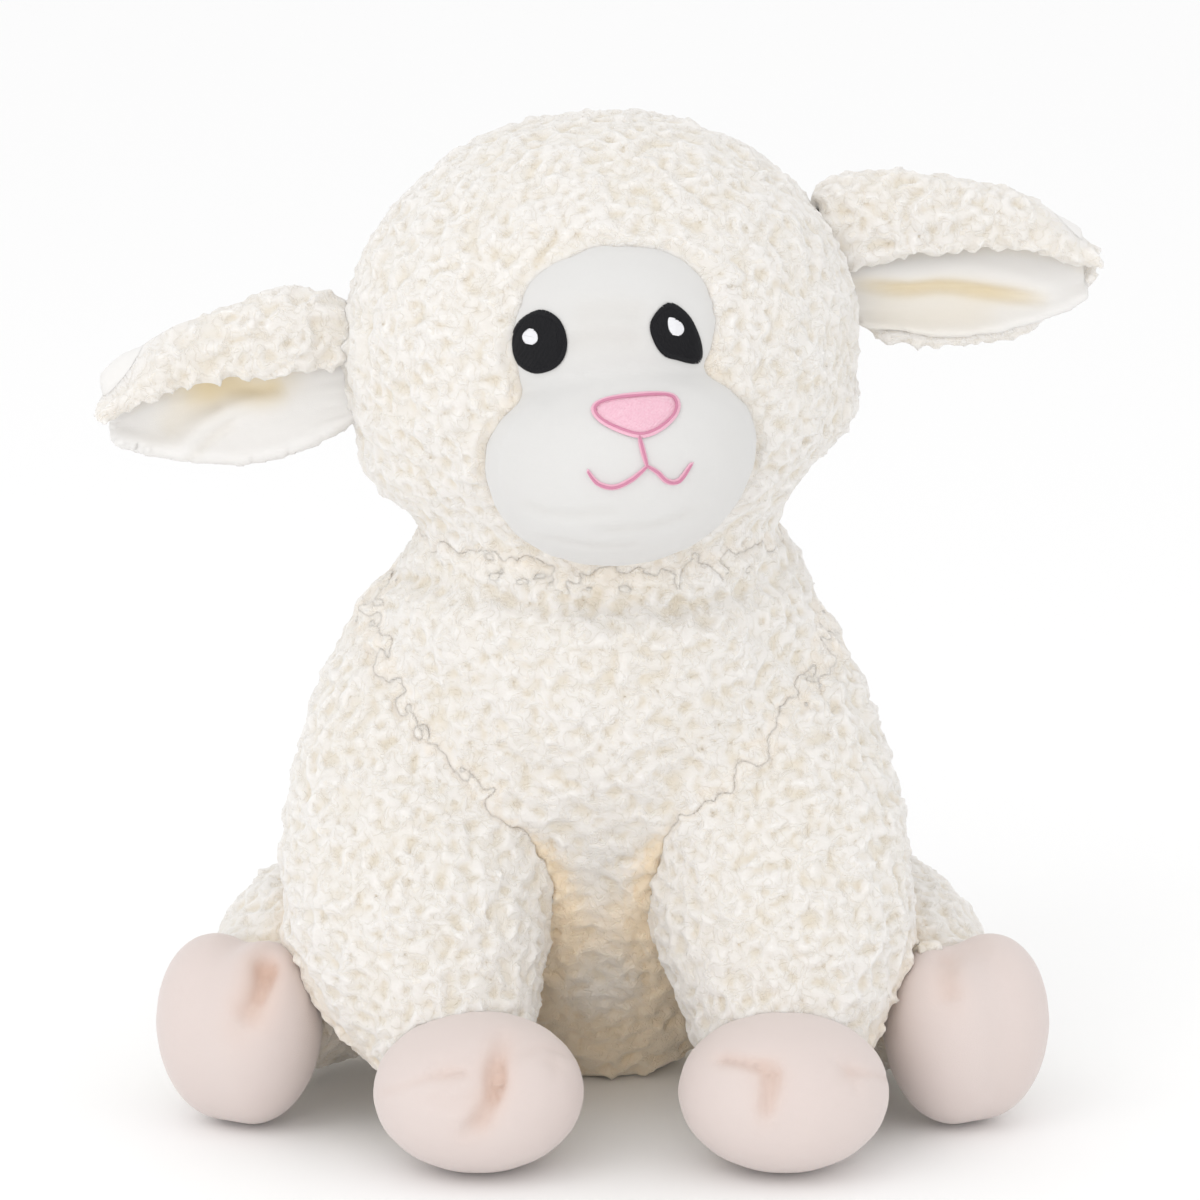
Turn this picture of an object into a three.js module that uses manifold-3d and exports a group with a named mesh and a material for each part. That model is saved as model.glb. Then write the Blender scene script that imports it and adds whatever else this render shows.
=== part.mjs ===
// A sitting plush sheep, in millimetres, +Z up, facing -Y. The origin is the middle of the
// flat seat, and the floor is Z = 0.
// Right and left are the sheep's own, so its right side is at -X.
// Every form swells and tapers about a bent spine. A cover is the form with its filling cut
// out of it, and a smaller form is cut back by the larger one that it is sewn to.

import * as THREE from 'three';
import { mergeVertices } from 'three/addons/utils/BufferGeometryUtils.js';
import Module from 'manifold-3d';

const wasm = await Module();
wasm.setup();

// Fabric and fit
const SEAM_GAP = 0.3; // clearance between neighbouring pieces
const PILE_THICKNESS = 6; // curly pile fabric, backing and pile
const VELOUR_THICKNESS = 1.8; // short velour of the face, the hooves and the ear linings
const THREAD_THICKNESS = 1; // raised satin embroidery
const SWING_CLEARANCE = 0.4; // extra room for the facets of the body as a limb turns against it
const CUT_OVERRUN = 20; // how far a cutting tool runs past what it cuts

// Body: an egg leaning back from the neck to the seat
const BODY_HALF_WIDTH = 62;
const BODY_HALF_DEPTH = 56;
const BODY_TOP = 186; // top of the egg, inside the head's seat
const BODY_ROUND_BELOW_SEAT = 12; // what the flat seat cuts off the egg
const NECK_Y = -38; // the neck, forward of the middle of the seat, which is the origin
const BODY_WIDTH_SHARES = [0.98, 1, 1, 1, 0.96];
const BODY_DEPTH_SHARES = [0.98, 0.98, 1, 1, 1];
const SEAT_PANEL_THICKNESS = 3;
const SEAT_PANEL_INSET = 5; // from the edge of the flat seat to the panel's seam
const SEAM_PLANE_Y = -18; // the side seams between the chest panel and the back panel
const POUCH_RADIUS = 24;
const POUCH_HEIGHT = 16;

// Head: a ball, round below for its seat on the body and a little wider above
const HEAD_RADIUS = 67;
const HEAD_EXTRA_HALF_WIDTH = 5;
const HEAD_CROWN_HEIGHT = 64; // above the middle of the ball
const CHEEK_HALF_WIDTH = 71; // fullness round the lower half of the ball
const CHEEK_HALF_DEPTH = 56;
const CHEEK_HALF_HEIGHT = 27;
const CHEEK_DROP = 22; // below the middle of the ball
const HEAD_CENTRE_Z = 217;
const HEAD_TURN = THREE.MathUtils.degToRad(6); // towards the sheep's left
const HEAD_TILT = THREE.MathUtils.degToRad(-8); // crown towards the sheep's right
const HEAD_WIDEN_SHARES = [0.6, 1, 1, 1, 0.7, 0, 0]; // nothing below, where the ball is seated
const NECK_RADIUS = 40; // the ring where the head is sewn to the body
const NECK_BAND_RADIUS = 3.6; // roll of gathered pile fabric in the neck seam
const NECK_TURN_CLEARANCE = 0.5; // extra room for the facets of the ball and the band as they turn
const NECK_OPENING_RADIUS = 26;

// Face, in the head's own frame
const MUZZLE_HALF_WIDTH = 37;
const MUZZLE_HALF_HEIGHT = 27.5;
const MUZZLE_HALF_DEPTH = 34;
const MUZZLE_REACH = 87; // from the head's centre to the tip of the muzzle
const MUZZLE_DROP = 21; // below the head's centre
const MUZZLE_OFFSET = -3; // towards the sheep's right, as sewn
const BROW_HALF_WIDTH = 36;
const BROW_HALF_HEIGHT = 29.5;
const BROW_HALF_DEPTH = 30;
const BROW_REACH = 70;
const BROW_RISE = 9.5;
const EYE_HALF_WIDTH = 6.6;
const EYE_HALF_HEIGHT = 7.8;
const EYE_SPACING = 37;
const EYE_RISE = { right: 13, left: 9.5 };
const EYE_OFFSET = -3.3; // towards the sheep's right, as sewn
const GLINT_RADIUS = 2.2;
const GLINT_ASIDE = 2; // the glint lies towards the sheep's right
const GLINT_RISE = 1.4;
const NOSE_HALF_WIDTH = 11;
const NOSE_HEIGHT = 11.5;
const NOSE_TOP = -2.5; // against the head's centre
const NOSE_OFFSET = 1.5; // towards the sheep's left, as sewn
const NOSE_OUTLINE_WIDTH = 1.8;
const MOUTH_WIDTH = 27;
const MOUTH_LINE_WIDTH = 1.7;
const MOUTH_LINE_LENGTH = 6.5;
const SMILE_DIP = 4.5;

// Ears, in the head's own frame: a sheet of pile fabric that is folded over forwards at its top
const EAR_LENGTH = { right: 70.5, left: 72.5 };
const EAR_ROOT_RADIUS = 9; // how far the ear reaches inwards past its hinge
const EAR_ROOT_SINK = 3; // the hinge lies this far outside the ear's seat on the pile
const EAR_ROOT_RISE = { right: 7, left: 14 };
const EAR_DROOP = { right: 6, left: 14 }; // how far the tip hangs below the root
const EAR_TOP = { right: 20, left: 22 }; // from the hinge up to the fold
const EAR_LOW = 24; // from the hinge down to the lower edge
const EAR_SHEET_THICKNESS = 5;
const EAR_FOLD_RADIUS = 6.2; // bend of the middle of the sheet
const EAR_TOP_SHARES = [0.95, 1, 0.95, 0.82, 0.3];
const EAR_LOW_SHARES = [0.8, 1, 0.98, 0.7, 0.25];
const EAR_FOLD_SHARES = [1, 1, 1, 0.95, 0.85];
const EAR_FLAP_SHARES = [0.5, 0.56, 0.62, 0.6, 0.5]; // where the flap ends, from the lower edge up
const EAR_LINING_ALONG_SHARES = [0.05, 0.85];
const EAR_LINING_ACROSS_SHARES = [0.03, 0.94];
const EAR_FLOP_RANGE = 25; // degrees up and down

// Forelegs: from the shoulders forward to the hooves between the knees
const SHOULDER_X = { right: 52, left: 46 };
const SHOULDER_Y = -30;
const SHOULDER_Z = 126;
const FORELEG_ROOT_RISE = 28; // from the hinge to the top of the leg
const FORELEG_HALF_WIDTH = 37;
const FORELEG_HALF_DEPTH = 31;
const FORELEG_WIDTH_SHARES = [0.85, 0.9, 1, 0.9, 0.8];
const FORELEG_DEPTH_SHARES = [0.9, 0.95, 1, 0.95, 0.85];
const FOREKNEE_OUTSET = { right: 9.3, left: 2.8 }; // how far the leg bows out between shoulder and hoof
const FORE_HOOF_X = { right: 33, left: 50 };
const FORE_HOOF_Y = -106;
const FORE_HOOF_HALF_WIDTH = 30;
const FORE_HOOF_HALF_LENGTH = 27;
const FORE_HOOF_HALF_HEIGHT = 22.5;
const FORELEG_SWING_MAX = 50; // degrees forward and up

// Hind legs: from the hips forward and out to the hooves
const HIP_X = 40;
const HIP_Y = 14;
const HIP_Z = 34;
const HIND_LEG_HALF_HEIGHT = 31;
const HIND_LEG_HALF_WIDTH = 27;
const HIND_HEIGHT_SHARES = [1, 1, 1, 0.92, 0.85];
const HIND_WIDTH_SHARES = [1, 1, 1, 0.95, 0.9];
const HIND_HOOF_X = { right: 101, left: 102.5 };
const HIND_HOOF_Y = -66;
const HIND_KNEE_X = 80;
const HIND_KNEE_Y = -14;
const HIND_TOE_OUT = THREE.MathUtils.degToRad(28);
const HIND_HOOF_HALF_LENGTH = 20;
const HIND_LOBE_HALF_WIDTH = 17.8; // each hind hoof has two lobes, which lean apart at the top
const HIND_LOBE_HALF_HEIGHT = 28;
const HIND_LOBE_ASIDE = 6.5;
const HIND_LOBE_LEAN = THREE.MathUtils.degToRad(6);
const HIND_SEAM_FORWARD = 4; // the seam round the sole, ahead of the hoof's middle
const HIND_LEG_SPREAD_MAX = 25; // degrees outward

// Hoof clefts
const CLEFT_HALF_WIDTH = 3.2;
const CLEFT_DEPTH = 9;
const CLEFT_HALF_HEIGHT = 11;
const TUCK_THREAD_SIZE = 2.4;

// Tail
const TAIL_LENGTH = 30;
const TAIL_HALF_WIDTH = 11;
const TAIL_PLACE_SHARE = 0.8; // how far down the body's spine the tail is sewn on
const TAIL_SINK = 4; // how deep the tail's round end is let into the back
const TAIL_WAG_RANGE = 20; // degrees to each side
const TAIL_WIDTH_SHARES = [0.8, 0.95, 1, 0.95];

// Flats under what rests on the floor
const FLAT_DEPTH = 0.5;

// Facets
const LARGE_AROUND = 22;
const LARGE_RINGS = 13;
const SMALL_AROUND = 14;
const SMALL_RINGS = 9;
const INNER_AROUND = 10; // fillings, and the hollows that they lie in
const INNER_RINGS = 7;
const SEAT_AROUND = 26; // the head's seat, finer so that the ball turns freely in it
const SEAT_STEPS = 8;
const LEG_SWING_STEPS = 2; // positions at which the body is cut out of a leg
const EAR_SWING_STEPS = 4;
const SHEET_ALONG = 9;
const SHEET_ACROSS = 12;
const BAND_SECTION_STEPS = 6;
const PATCH_STEPS = 8;
const CLEFT_AROUND = 8;
const CLEFT_RINGS = 6;

const UNIT_BALL = 1;
const X = new THREE.Vector3(1, 0, 0);
const Y = new THREE.Vector3(0, 1, 0);
const Z = new THREE.Vector3(0, 0, 1);

const pile = new THREE.MeshStandardMaterial({ color: 0xf3eee6, roughness: 0.95, metalness: 0 });
const faceVelour = new THREE.MeshStandardMaterial({ color: 0xf4f2ee, roughness: 0.85, metalness: 0 });
const hoofVelour = new THREE.MeshStandardMaterial({ color: 0xecdfdb, roughness: 0.85, metalness: 0 });
const liningVelour = new THREE.MeshStandardMaterial({ color: 0xf5f1e6, roughness: 0.8, metalness: 0 });
const blackThread = new THREE.MeshStandardMaterial({ color: 0x18181c, roughness: 0.5, metalness: 0 });
const whiteThread = new THREE.MeshStandardMaterial({ color: 0xffffff, roughness: 0.5, metalness: 0 });
const pinkThread = new THREE.MeshStandardMaterial({ color: 0xf2c2d4, roughness: 0.5, metalness: 0 });
const darkPinkThread = new THREE.MeshStandardMaterial({ color: 0xd98fae, roughness: 0.5, metalness: 0 });
const paleThread = new THREE.MeshStandardMaterial({ color: 0xeed5cc, roughness: 0.6, metalness: 0 });
const filling = new THREE.MeshStandardMaterial({ color: 0xf8f8f6, roughness: 1, metalness: 0 });
const pouchCloth = new THREE.MeshStandardMaterial({ color: 0xe9e6dc, roughness: 0.9, metalness: 0 });

function v(x, y, z) {
  return new THREE.Vector3(x, y, z);
}

// Reads a short list of shares as a smooth curve, from its first at 0 to its last at 1.
function shareAt(shares, t) {
  const points = shares.map((share, place) => new THREE.Vector2(place, share));
  return new THREE.SplineCurve(points).getPoint(t).y;
}

// A closed form about a spine: an ellipsoid that bends along it, swells and tapers.
// `across` is the direction that its half width is measured in; `grow` offsets its surface.
function plump({ spine, across, halfWidth, halfDepth, widthShares = [1, 1], depthShares = [1, 1],
  around = LARGE_AROUND, rings = LARGE_RINGS }, grow = 0) {
  const curve = new THREE.CatmullRomCurve3(spine);
  const geometry = new THREE.SphereGeometry(UNIT_BALL, around, rings);
  geometry.deleteAttribute('normal');
  geometry.deleteAttribute('uv');
  const form = mergeVertices(geometry);
  const place = form.attributes.position;
  const unit = new THREE.Vector3();
  for (let i = 0; i < place.count; i += 1) {
    unit.fromBufferAttribute(place, i);
    const t = THREE.MathUtils.clamp((1 - unit.y) / 2, 0, 1);
    const tangent = curve.getTangent(t);
    const side = across.clone().addScaledVector(tangent, -across.dot(tangent)).normalize();
    const front = tangent.clone().cross(side);
    const point = curve.getPoint(t);
    point.addScaledVector(side, unit.x * (halfWidth * shareAt(widthShares, t) + grow));
    point.addScaledVector(front, unit.z * (halfDepth * shareAt(depthShares, t) + grow));
    point.addScaledVector(tangent, -unit.y * grow);
    place.setXYZ(i, point.x, point.y, point.z);
  }
  return form;
}

function solidOf(geometry) {
  const bare = geometry.clone();
  bare.deleteAttribute('normal');
  bare.deleteAttribute('uv');
  const merged = mergeVertices(bare);
  const vertProperties = new Float32Array(merged.attributes.position.array);
  const triVerts = new Uint32Array(merged.index.array);
  return new wasm.Manifold(new wasm.Mesh({ numProp: 3, vertProperties, triVerts }));
}

function form(shape, grow = 0) {
  return solidOf(plump(shape, grow));
}

// The coarser form of a filling, or of the hollow that it lies in
function inner(shape, grow) {
  return form({ ...shape, around: INNER_AROUND, rings: INNER_RINGS }, grow);
}

// A sheet between two offsets from a surface, which `at` gives as a point and a normal for two
// places from 0 to 1. A `mirrored` surface has its normal on the left of the two directions.
function sheetSolid({ at, mirrored }, low, high) {
  const positions = [];
  for (const offset of [low, high]) {
    for (let i = 0; i <= SHEET_ALONG; i += 1) {
      for (let j = 0; j <= SHEET_ACROSS; j += 1) {
        const { point, normal } = at(i / SHEET_ALONG, j / SHEET_ACROSS);
        positions.push(...point.addScaledVector(normal, offset).toArray());
      }
    }
  }
  const corner = (layer, i, j) => (layer * (SHEET_ALONG + 1) + i) * (SHEET_ACROSS + 1) + j;
  const index = [];
  const quad = (...corners) => {
    const [a, b, c, d] = mirrored ? corners.reverse() : corners;
    index.push(a, b, c, a, c, d);
  };
  for (let i = 0; i < SHEET_ALONG; i += 1) {
    for (let j = 0; j < SHEET_ACROSS; j += 1) {
      quad(corner(1, i, j), corner(1, i + 1, j), corner(1, i + 1, j + 1), corner(1, i, j + 1));
      quad(corner(0, i, j), corner(0, i, j + 1), corner(0, i + 1, j + 1), corner(0, i + 1, j));
    }
  }
  for (let i = 0; i < SHEET_ALONG; i += 1) {
    quad(corner(0, i, 0), corner(0, i + 1, 0), corner(1, i + 1, 0), corner(1, i, 0));
    const last = SHEET_ACROSS;
    quad(corner(1, i, last), corner(1, i + 1, last), corner(0, i + 1, last), corner(0, i, last));
  }
  for (let j = 0; j < SHEET_ACROSS; j += 1) {
    quad(corner(1, 0, j), corner(1, 0, j + 1), corner(0, 0, j + 1), corner(0, 0, j));
    const last = SHEET_ALONG;
    quad(corner(0, last, j), corner(0, last, j + 1), corner(1, last, j + 1), corner(1, last, j));
  }
  const geometry = new THREE.BufferGeometry();
  geometry.setAttribute('position', new THREE.Float32BufferAttribute(positions, 3));
  geometry.setIndex(index);
  return solidOf(geometry);
}

// Several forms that swell into one
function forms(shapes, grow = 0, made = form) {
  return join(...shapes.map((shape) => made(shape, grow)));
}

function join(first, ...others) {
  return others.reduce((solid, other) => solid.add(other), first);
}

function cut(first, ...tools) {
  return tools.reduce((solid, tool) => solid.subtract(tool), first);
}

function common(first, ...others) {
  return others.reduce((solid, other) => solid.intersect(other), first);
}

function boxSolid(low, high) {
  const size = high.clone().sub(low);
  const geometry = new THREE.BoxGeometry(size.x, size.y, size.z);
  const middle = low.clone().add(high).multiplyScalar(1 / 2);
  return solidOf(geometry.translate(middle.x, middle.y, middle.z));
}

function part(name, solid, material) {
  const { vertProperties, triVerts } = solid.getMesh();
  const geometry = new THREE.BufferGeometry();
  geometry.setAttribute('position', new THREE.BufferAttribute(vertProperties, 3));
  geometry.setIndex(new THREE.BufferAttribute(triVerts, 1));
  geometry.computeVertexNormals();
  const mesh = new THREE.Mesh(geometry, material);
  mesh.name = name;
  return mesh;
}

// Half spaces, as boxes far larger than the toy
const REACH = BODY_TOP + 2 * HEAD_RADIUS;
const belowFloor = boxSolid(v(-REACH, -REACH, -REACH), v(REACH, REACH, 0));

function turnAbout(pivot, axis, degrees) {
  const spin = new THREE.Matrix4().makeRotationAxis(axis, THREE.MathUtils.degToRad(degrees));
  const there = new THREE.Matrix4().makeTranslation(pivot.x, pivot.y, pivot.z);
  const back = new THREE.Matrix4().makeTranslation(-pivot.x, -pivot.y, -pivot.z);
  return there.multiply(spin).multiply(back);
}

// The solids of a form at even steps as it turns about a pivot, from one angle to another.
// A limb's own turn by an angle is cut clear of its carrier by turning the carrier the other way.
function swept({ pivot, axis, low, high, steps }, geometry) {
  const stops = [];
  for (let step = 0; step <= steps; step += 1) {
    const turned = turnAbout(pivot, axis, low + (high - low) * step / steps);
    stops.push(solidOf(geometry.clone().applyMatrix4(turned)));
  }
  return stops;
}

// Body
const headCentre = v(0, NECK_Y, HEAD_CENTRE_Z);
const bodyShape = {
  spine: [
    v(0, NECK_Y, BODY_TOP),
    v(0, NECK_Y, HEAD_CENTRE_Z - HEAD_RADIUS),
    v(0, NECK_Y / 2, BODY_TOP / 2),
    v(0, 0, -BODY_ROUND_BELOW_SEAT),
  ],
  across: X,
  halfWidth: BODY_HALF_WIDTH,
  halfDepth: BODY_HALF_DEPTH,
  widthShares: BODY_WIDTH_SHARES,
  depthShares: BODY_DEPTH_SHARES,
};

function upright(profile, centre) {
  const geometry = new THREE.LatheGeometry(profile, SEAT_AROUND);
  return solidOf(geometry.rotateX(Math.PI / 2).translate(centre.x, centre.y, centre.z));
}

function disc(radius, low, high, centre) {
  const profile = [
    new THREE.Vector2(0, low),
    new THREE.Vector2(radius, low),
    new THREE.Vector2(radius, high),
    new THREE.Vector2(0, high),
  ];
  return upright(profile, centre);
}

// The neck band rolls round the head's ball, on the circle where the head meets the body.
const neckAngle = Math.asin(NECK_RADIUS / HEAD_RADIUS);
const bandDistance = HEAD_RADIUS + NECK_TURN_CLEARANCE + SEAM_GAP + NECK_BAND_RADIUS;
const bandRing = bandDistance * Math.sin(neckAngle);
const bandCentre = headCentre.clone().addScaledVector(Z, -bandDistance * Math.cos(neckAngle));

function neckBandSolid(sectionRadius) {
  const geometry = new THREE.TorusGeometry(bandRing, sectionRadius, BAND_SECTION_STEPS, SEAT_AROUND);
  return solidOf(geometry.translate(bandCentre.x, bandCentre.y, bandCentre.z));
}

// The dish that the head's ball turns in: the lower half of a slightly larger ball
function dishSolid() {
  const radius = HEAD_RADIUS + NECK_TURN_CLEARANCE + SEAM_GAP;
  const profile = [];
  for (let step = 0; step <= SEAT_STEPS; step += 1) {
    const angle = Math.PI / 2 * step / SEAT_STEPS;
    profile.push(new THREE.Vector2(radius * Math.sin(angle), -radius * Math.cos(angle)));
  }
  profile.push(new THREE.Vector2(0, 0));
  return upright(profile, headCentre);
}

// The flat seat: where the floor cuts the egg, the panel closes the opening of the cover.
const seatShare = BODY_TOP / (BODY_TOP + BODY_ROUND_BELOW_SEAT);
const seatHalfWidth = BODY_HALF_WIDTH * shareAt(BODY_WIDTH_SHARES, seatShare)
  * Math.sqrt(1 - (2 * seatShare - 1) ** 2);
const seatPanelRadius = seatHalfWidth - SEAT_PANEL_INSET;
const seatMiddle = v(0, 0, 0);
const neckFoot = v(0, NECK_Y, 0);
const fillingTop = bandCentre.z - NECK_BAND_RADIUS - PILE_THICKNESS;
const seatPanel = disc(seatPanelRadius, 0, SEAT_PANEL_THICKNESS, seatMiddle);

// The bead pouch lies on the seat panel, in a hollow of the filling that opens downwards.
const pouchBottom = SEAT_PANEL_THICKNESS + SEAM_GAP;
function pouchSolid(grow) {
  const shape = {
    spine: [v(0, 0, pouchBottom + POUCH_HEIGHT), v(0, 0, pouchBottom - FLAT_DEPTH)],
    across: X,
    halfWidth: POUCH_RADIUS,
    halfDepth: POUCH_RADIUS,
  };
  return inner(shape, grow);
}
const underPouch = disc(POUCH_RADIUS + CUT_OVERRUN, -CUT_OVERRUN, pouchBottom, seatMiddle);

// The filling, or with no inset the hollow of the cover that holds it. Its stem fills the neck
// up to the dish, and its foot fills the seat opening down to the panel.
function stuffing(inset) {
  const core = common(
    inner(bodyShape, -PILE_THICKNESS - inset),
    disc(REACH, PILE_THICKNESS + inset, fillingTop - inset, seatMiddle),
  );
  const stem = disc(NECK_OPENING_RADIUS - inset, fillingTop - CUT_OVERRUN, HEAD_CENTRE_Z, neckFoot);
  const foot = common(
    disc(seatPanelRadius + SEAM_GAP - inset, pouchBottom - SEAM_GAP, CUT_OVERRUN, seatMiddle),
    inner(bodyShape, -PILE_THICKNESS - inset),
  );
  return join(core, stem, foot);
}
const bodyFilling = cut(stuffing(SEAM_GAP), dishSolid(), pouchSolid(SEAM_GAP), underPouch);
const beadPouch = cut(pouchSolid(0), underPouch);

// The cover: what lies between the egg and its filling, open at the neck and at the seat
const seatOpening = disc(seatPanelRadius + SEAM_GAP, -CUT_OVERRUN, CUT_OVERRUN, seatMiddle);
const bodyCover = cut(
  form(bodyShape),
  belowFloor,
  dishSolid(),
  neckBandSolid(NECK_BAND_RADIUS + SEAM_GAP + NECK_TURN_CLEARANCE),
  stuffing(0),
  seatOpening,
);
const behindSeam = boxSolid(v(-REACH, SEAM_PLANE_Y - SEAM_GAP / 2, -REACH), v(REACH, REACH, REACH));
const beforeSeam = boxSolid(v(-REACH, -REACH, -REACH), v(REACH, SEAM_PLANE_Y + SEAM_GAP / 2, REACH));

const bodyGroup = new THREE.Group();
bodyGroup.add(
  part('body_chest_panel', cut(bodyCover, behindSeam), pile),
  part('body_back_panel', cut(bodyCover, beforeSeam), pile),
  part('body_seat_panel', seatPanel, pile),
  part('body_filling', bodyFilling, filling),
  part('bead_pouch', beadPouch, pouchCloth),
  part('neck_band', neckBandSolid(NECK_BAND_RADIUS), pile),
);

// Head, in a group of its own at the middle of the ball
const headWidth = HEAD_RADIUS + HEAD_EXTRA_HALF_WIDTH;
const headShape = {
  spine: [v(0, 0, HEAD_CROWN_HEIGHT), v(0, 0, 0), v(0, 0, -HEAD_RADIUS)],
  across: X,
  halfWidth: HEAD_RADIUS,
  halfDepth: HEAD_RADIUS,
  widthShares: HEAD_WIDEN_SHARES.map((share) => 1 + share * HEAD_EXTRA_HALF_WIDTH / HEAD_RADIUS),
};
const cheekShape = {
  spine: [v(0, 0, CHEEK_HALF_HEIGHT - CHEEK_DROP), v(0, 0, -CHEEK_HALF_HEIGHT - CHEEK_DROP)],
  across: X,
  halfWidth: CHEEK_HALF_WIDTH,
  halfDepth: CHEEK_HALF_DEPTH,
  around: SMALL_AROUND,
  rings: SMALL_RINGS,
};
const ball = [headShape, cheekShape];
const muzzleShape = {
  spine: [
    v(MUZZLE_OFFSET, -MUZZLE_REACH, -MUZZLE_DROP),
    v(MUZZLE_OFFSET, -MUZZLE_REACH + 2 * MUZZLE_HALF_DEPTH, -MUZZLE_DROP),
  ],
  across: X,
  halfWidth: MUZZLE_HALF_WIDTH,
  halfDepth: MUZZLE_HALF_HEIGHT,
};
const browShape = {
  spine: [
    v(0, -BROW_REACH, BROW_RISE),
    v(0, -BROW_REACH + 2 * BROW_HALF_DEPTH, BROW_RISE),
  ],
  across: X,
  halfWidth: BROW_HALF_WIDTH,
  halfDepth: BROW_HALF_HEIGHT,
};

function faceForm(grow, made = form) {
  return join(made(muzzleShape, grow), made(browShape, grow));
}

function headStuffing(inset) {
  return join(
    forms(ball, -PILE_THICKNESS - inset, inner),
    faceForm(-VELOUR_THICKNESS - inset, inner),
  );
}
const headNeck = disc(NECK_OPENING_RADIUS, -HEAD_RADIUS - CUT_OVERRUN, -HEAD_RADIUS / 2, v(0, 0, 0));
const facePanel = cut(faceForm(0), headStuffing(0));

// Embroidery: an outline, laid on the face at `lift` and one thread thick
function prism(outline) {
  const settings = { depth: MUZZLE_REACH + CUT_OVERRUN, bevelEnabled: false, curveSegments: PATCH_STEPS };
  return solidOf(new THREE.ExtrudeGeometry(outline, settings).rotateX(Math.PI / 2));
}

function satinPatch(prismSolid, lift) {
  const shell = cut(faceForm(lift + THREAD_THICKNESS), faceForm(lift));
  const inFront = boxSolid(v(-REACH, -REACH, -REACH), v(REACH, -BROW_HALF_DEPTH, REACH));
  return common(shell, prismSolid, inFront);
}

function oval(x, z, halfWidth, halfHeight) {
  const ring = new THREE.EllipseCurve(x, z, halfWidth, halfHeight).getPoints(PATCH_STEPS);
  return new THREE.Shape(ring.slice(1));
}

// A rounded triangle, wide above and pointed below; `inset` shrinks it evenly.
function noseShape(inset) {
  const x = NOSE_OFFSET;
  const half = NOSE_HALF_WIDTH - inset;
  const top = NOSE_TOP - inset;
  const low = NOSE_TOP - NOSE_HEIGHT + inset;
  const shoulder = top - NOSE_HEIGHT / 4;
  const shape = new THREE.Shape();
  shape.moveTo(x, low);
  shape.quadraticCurveTo(x - half / 2, low, x - half, shoulder);
  shape.quadraticCurveTo(x - half, top, x - half / 2, top);
  shape.lineTo(x + half / 2, top);
  shape.quadraticCurveTo(x + half, top, x + half, shoulder);
  shape.quadraticCurveTo(x + half / 2, low, x, low);
  return shape;
}

// A line of stitches as wide as `width` along a curve in the plane of the face
function stitchLine(curve, width) {
  const points = curve.getPoints(PATCH_STEPS);
  const edge = [1, -1].map((side) => points.map((point, i) => {
    const tangent = curve.getTangent(i / PATCH_STEPS);
    return new THREE.Vector2(point.x - side * tangent.y * width / 2, point.y + side * tangent.x * width / 2);
  }));
  return new THREE.Shape([...edge[0], ...edge[1].reverse()]);
}

const noseLow = NOSE_TOP - NOSE_HEIGHT - SEAM_GAP;
const mouthPeak = new THREE.Vector2(NOSE_OFFSET, noseLow - MOUTH_LINE_LENGTH);
const philtrum = new THREE.LineCurve(new THREE.Vector2(NOSE_OFFSET, noseLow), mouthPeak);
function smile(side) {
  const corner = new THREE.Vector2(mouthPeak.x + side * MOUTH_WIDTH / 2, mouthPeak.y + MOUTH_LINE_WIDTH / 2);
  const dip = new THREE.Vector2(mouthPeak.x + side * MOUTH_WIDTH / 4, mouthPeak.y - 2 * SMILE_DIP);
  return new THREE.QuadraticBezierCurve(mouthPeak, dip, corner);
}

const noseRing = cut(prism(noseShape(0)), prism(noseShape(NOSE_OUTLINE_WIDTH)));
const mouth = join(
  prism(stitchLine(philtrum, MOUTH_LINE_WIDTH)),
  prism(stitchLine(smile(-1), MOUTH_LINE_WIDTH)),
  prism(stitchLine(smile(1), MOUTH_LINE_WIDTH)),
);

// The eyes reach the edge of the face panel, so the pile is trimmed back round them.
const glintLift = THREAD_THICKNESS + 2 * SEAM_GAP;
function eyeOutline(name, side, inset) {
  const x = EYE_OFFSET + side * EYE_SPACING / 2;
  return oval(x, EYE_RISE[name], EYE_HALF_WIDTH - inset, EYE_HALF_HEIGHT - inset);
}
const eyeRoom = common(
  join(prism(eyeOutline('right', -1, -SEAM_GAP)), prism(eyeOutline('left', 1, -SEAM_GAP))),
  faceForm(glintLift + THREAD_THICKNESS + SEAM_GAP),
);
const headCover = cut(forms(ball), headStuffing(0), faceForm(SEAM_GAP), eyeRoom, headNeck);

const headGroup = new THREE.Group();
headGroup.position.copy(headCentre);
headGroup.rotation.set(0, HEAD_TILT, HEAD_TURN, 'ZYX');
headGroup.add(
  part('head_cover', headCover, pile),
  part('head_filling', headStuffing(SEAM_GAP), filling),
  part('face_panel', facePanel, faceVelour),
  part('nose_patch', satinPatch(prism(noseShape(NOSE_OUTLINE_WIDTH + SEAM_GAP)), SEAM_GAP), pinkThread),
  part('nose_outline', satinPatch(noseRing, SEAM_GAP), darkPinkThread),
  part('mouth_stitching', satinPatch(mouth, SEAM_GAP), darkPinkThread),
);
for (const [name, side] of [['right', -1], ['left', 1]]) {
  const glintX = EYE_OFFSET + side * EYE_SPACING / 2 - GLINT_ASIDE;
  const glint = prism(oval(glintX, EYE_RISE[name] + GLINT_RISE, GLINT_RADIUS, GLINT_RADIUS));
  headGroup.add(
    part(`${name}_eye`, satinPatch(prism(eyeOutline(name, side, 0)), SEAM_GAP), blackThread),
    part(`${name}_eye_glint`, satinPatch(glint, glintLift), whiteThread),
  );
}

// Ears: a sheet of pile fabric, cupped, folded over at the top and lined on the inside
function earPivot(name, side) {
  return v(side * (headWidth + EAR_ROOT_RADIUS - EAR_ROOT_SINK), 0, EAR_ROOT_RISE[name]);
}

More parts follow.
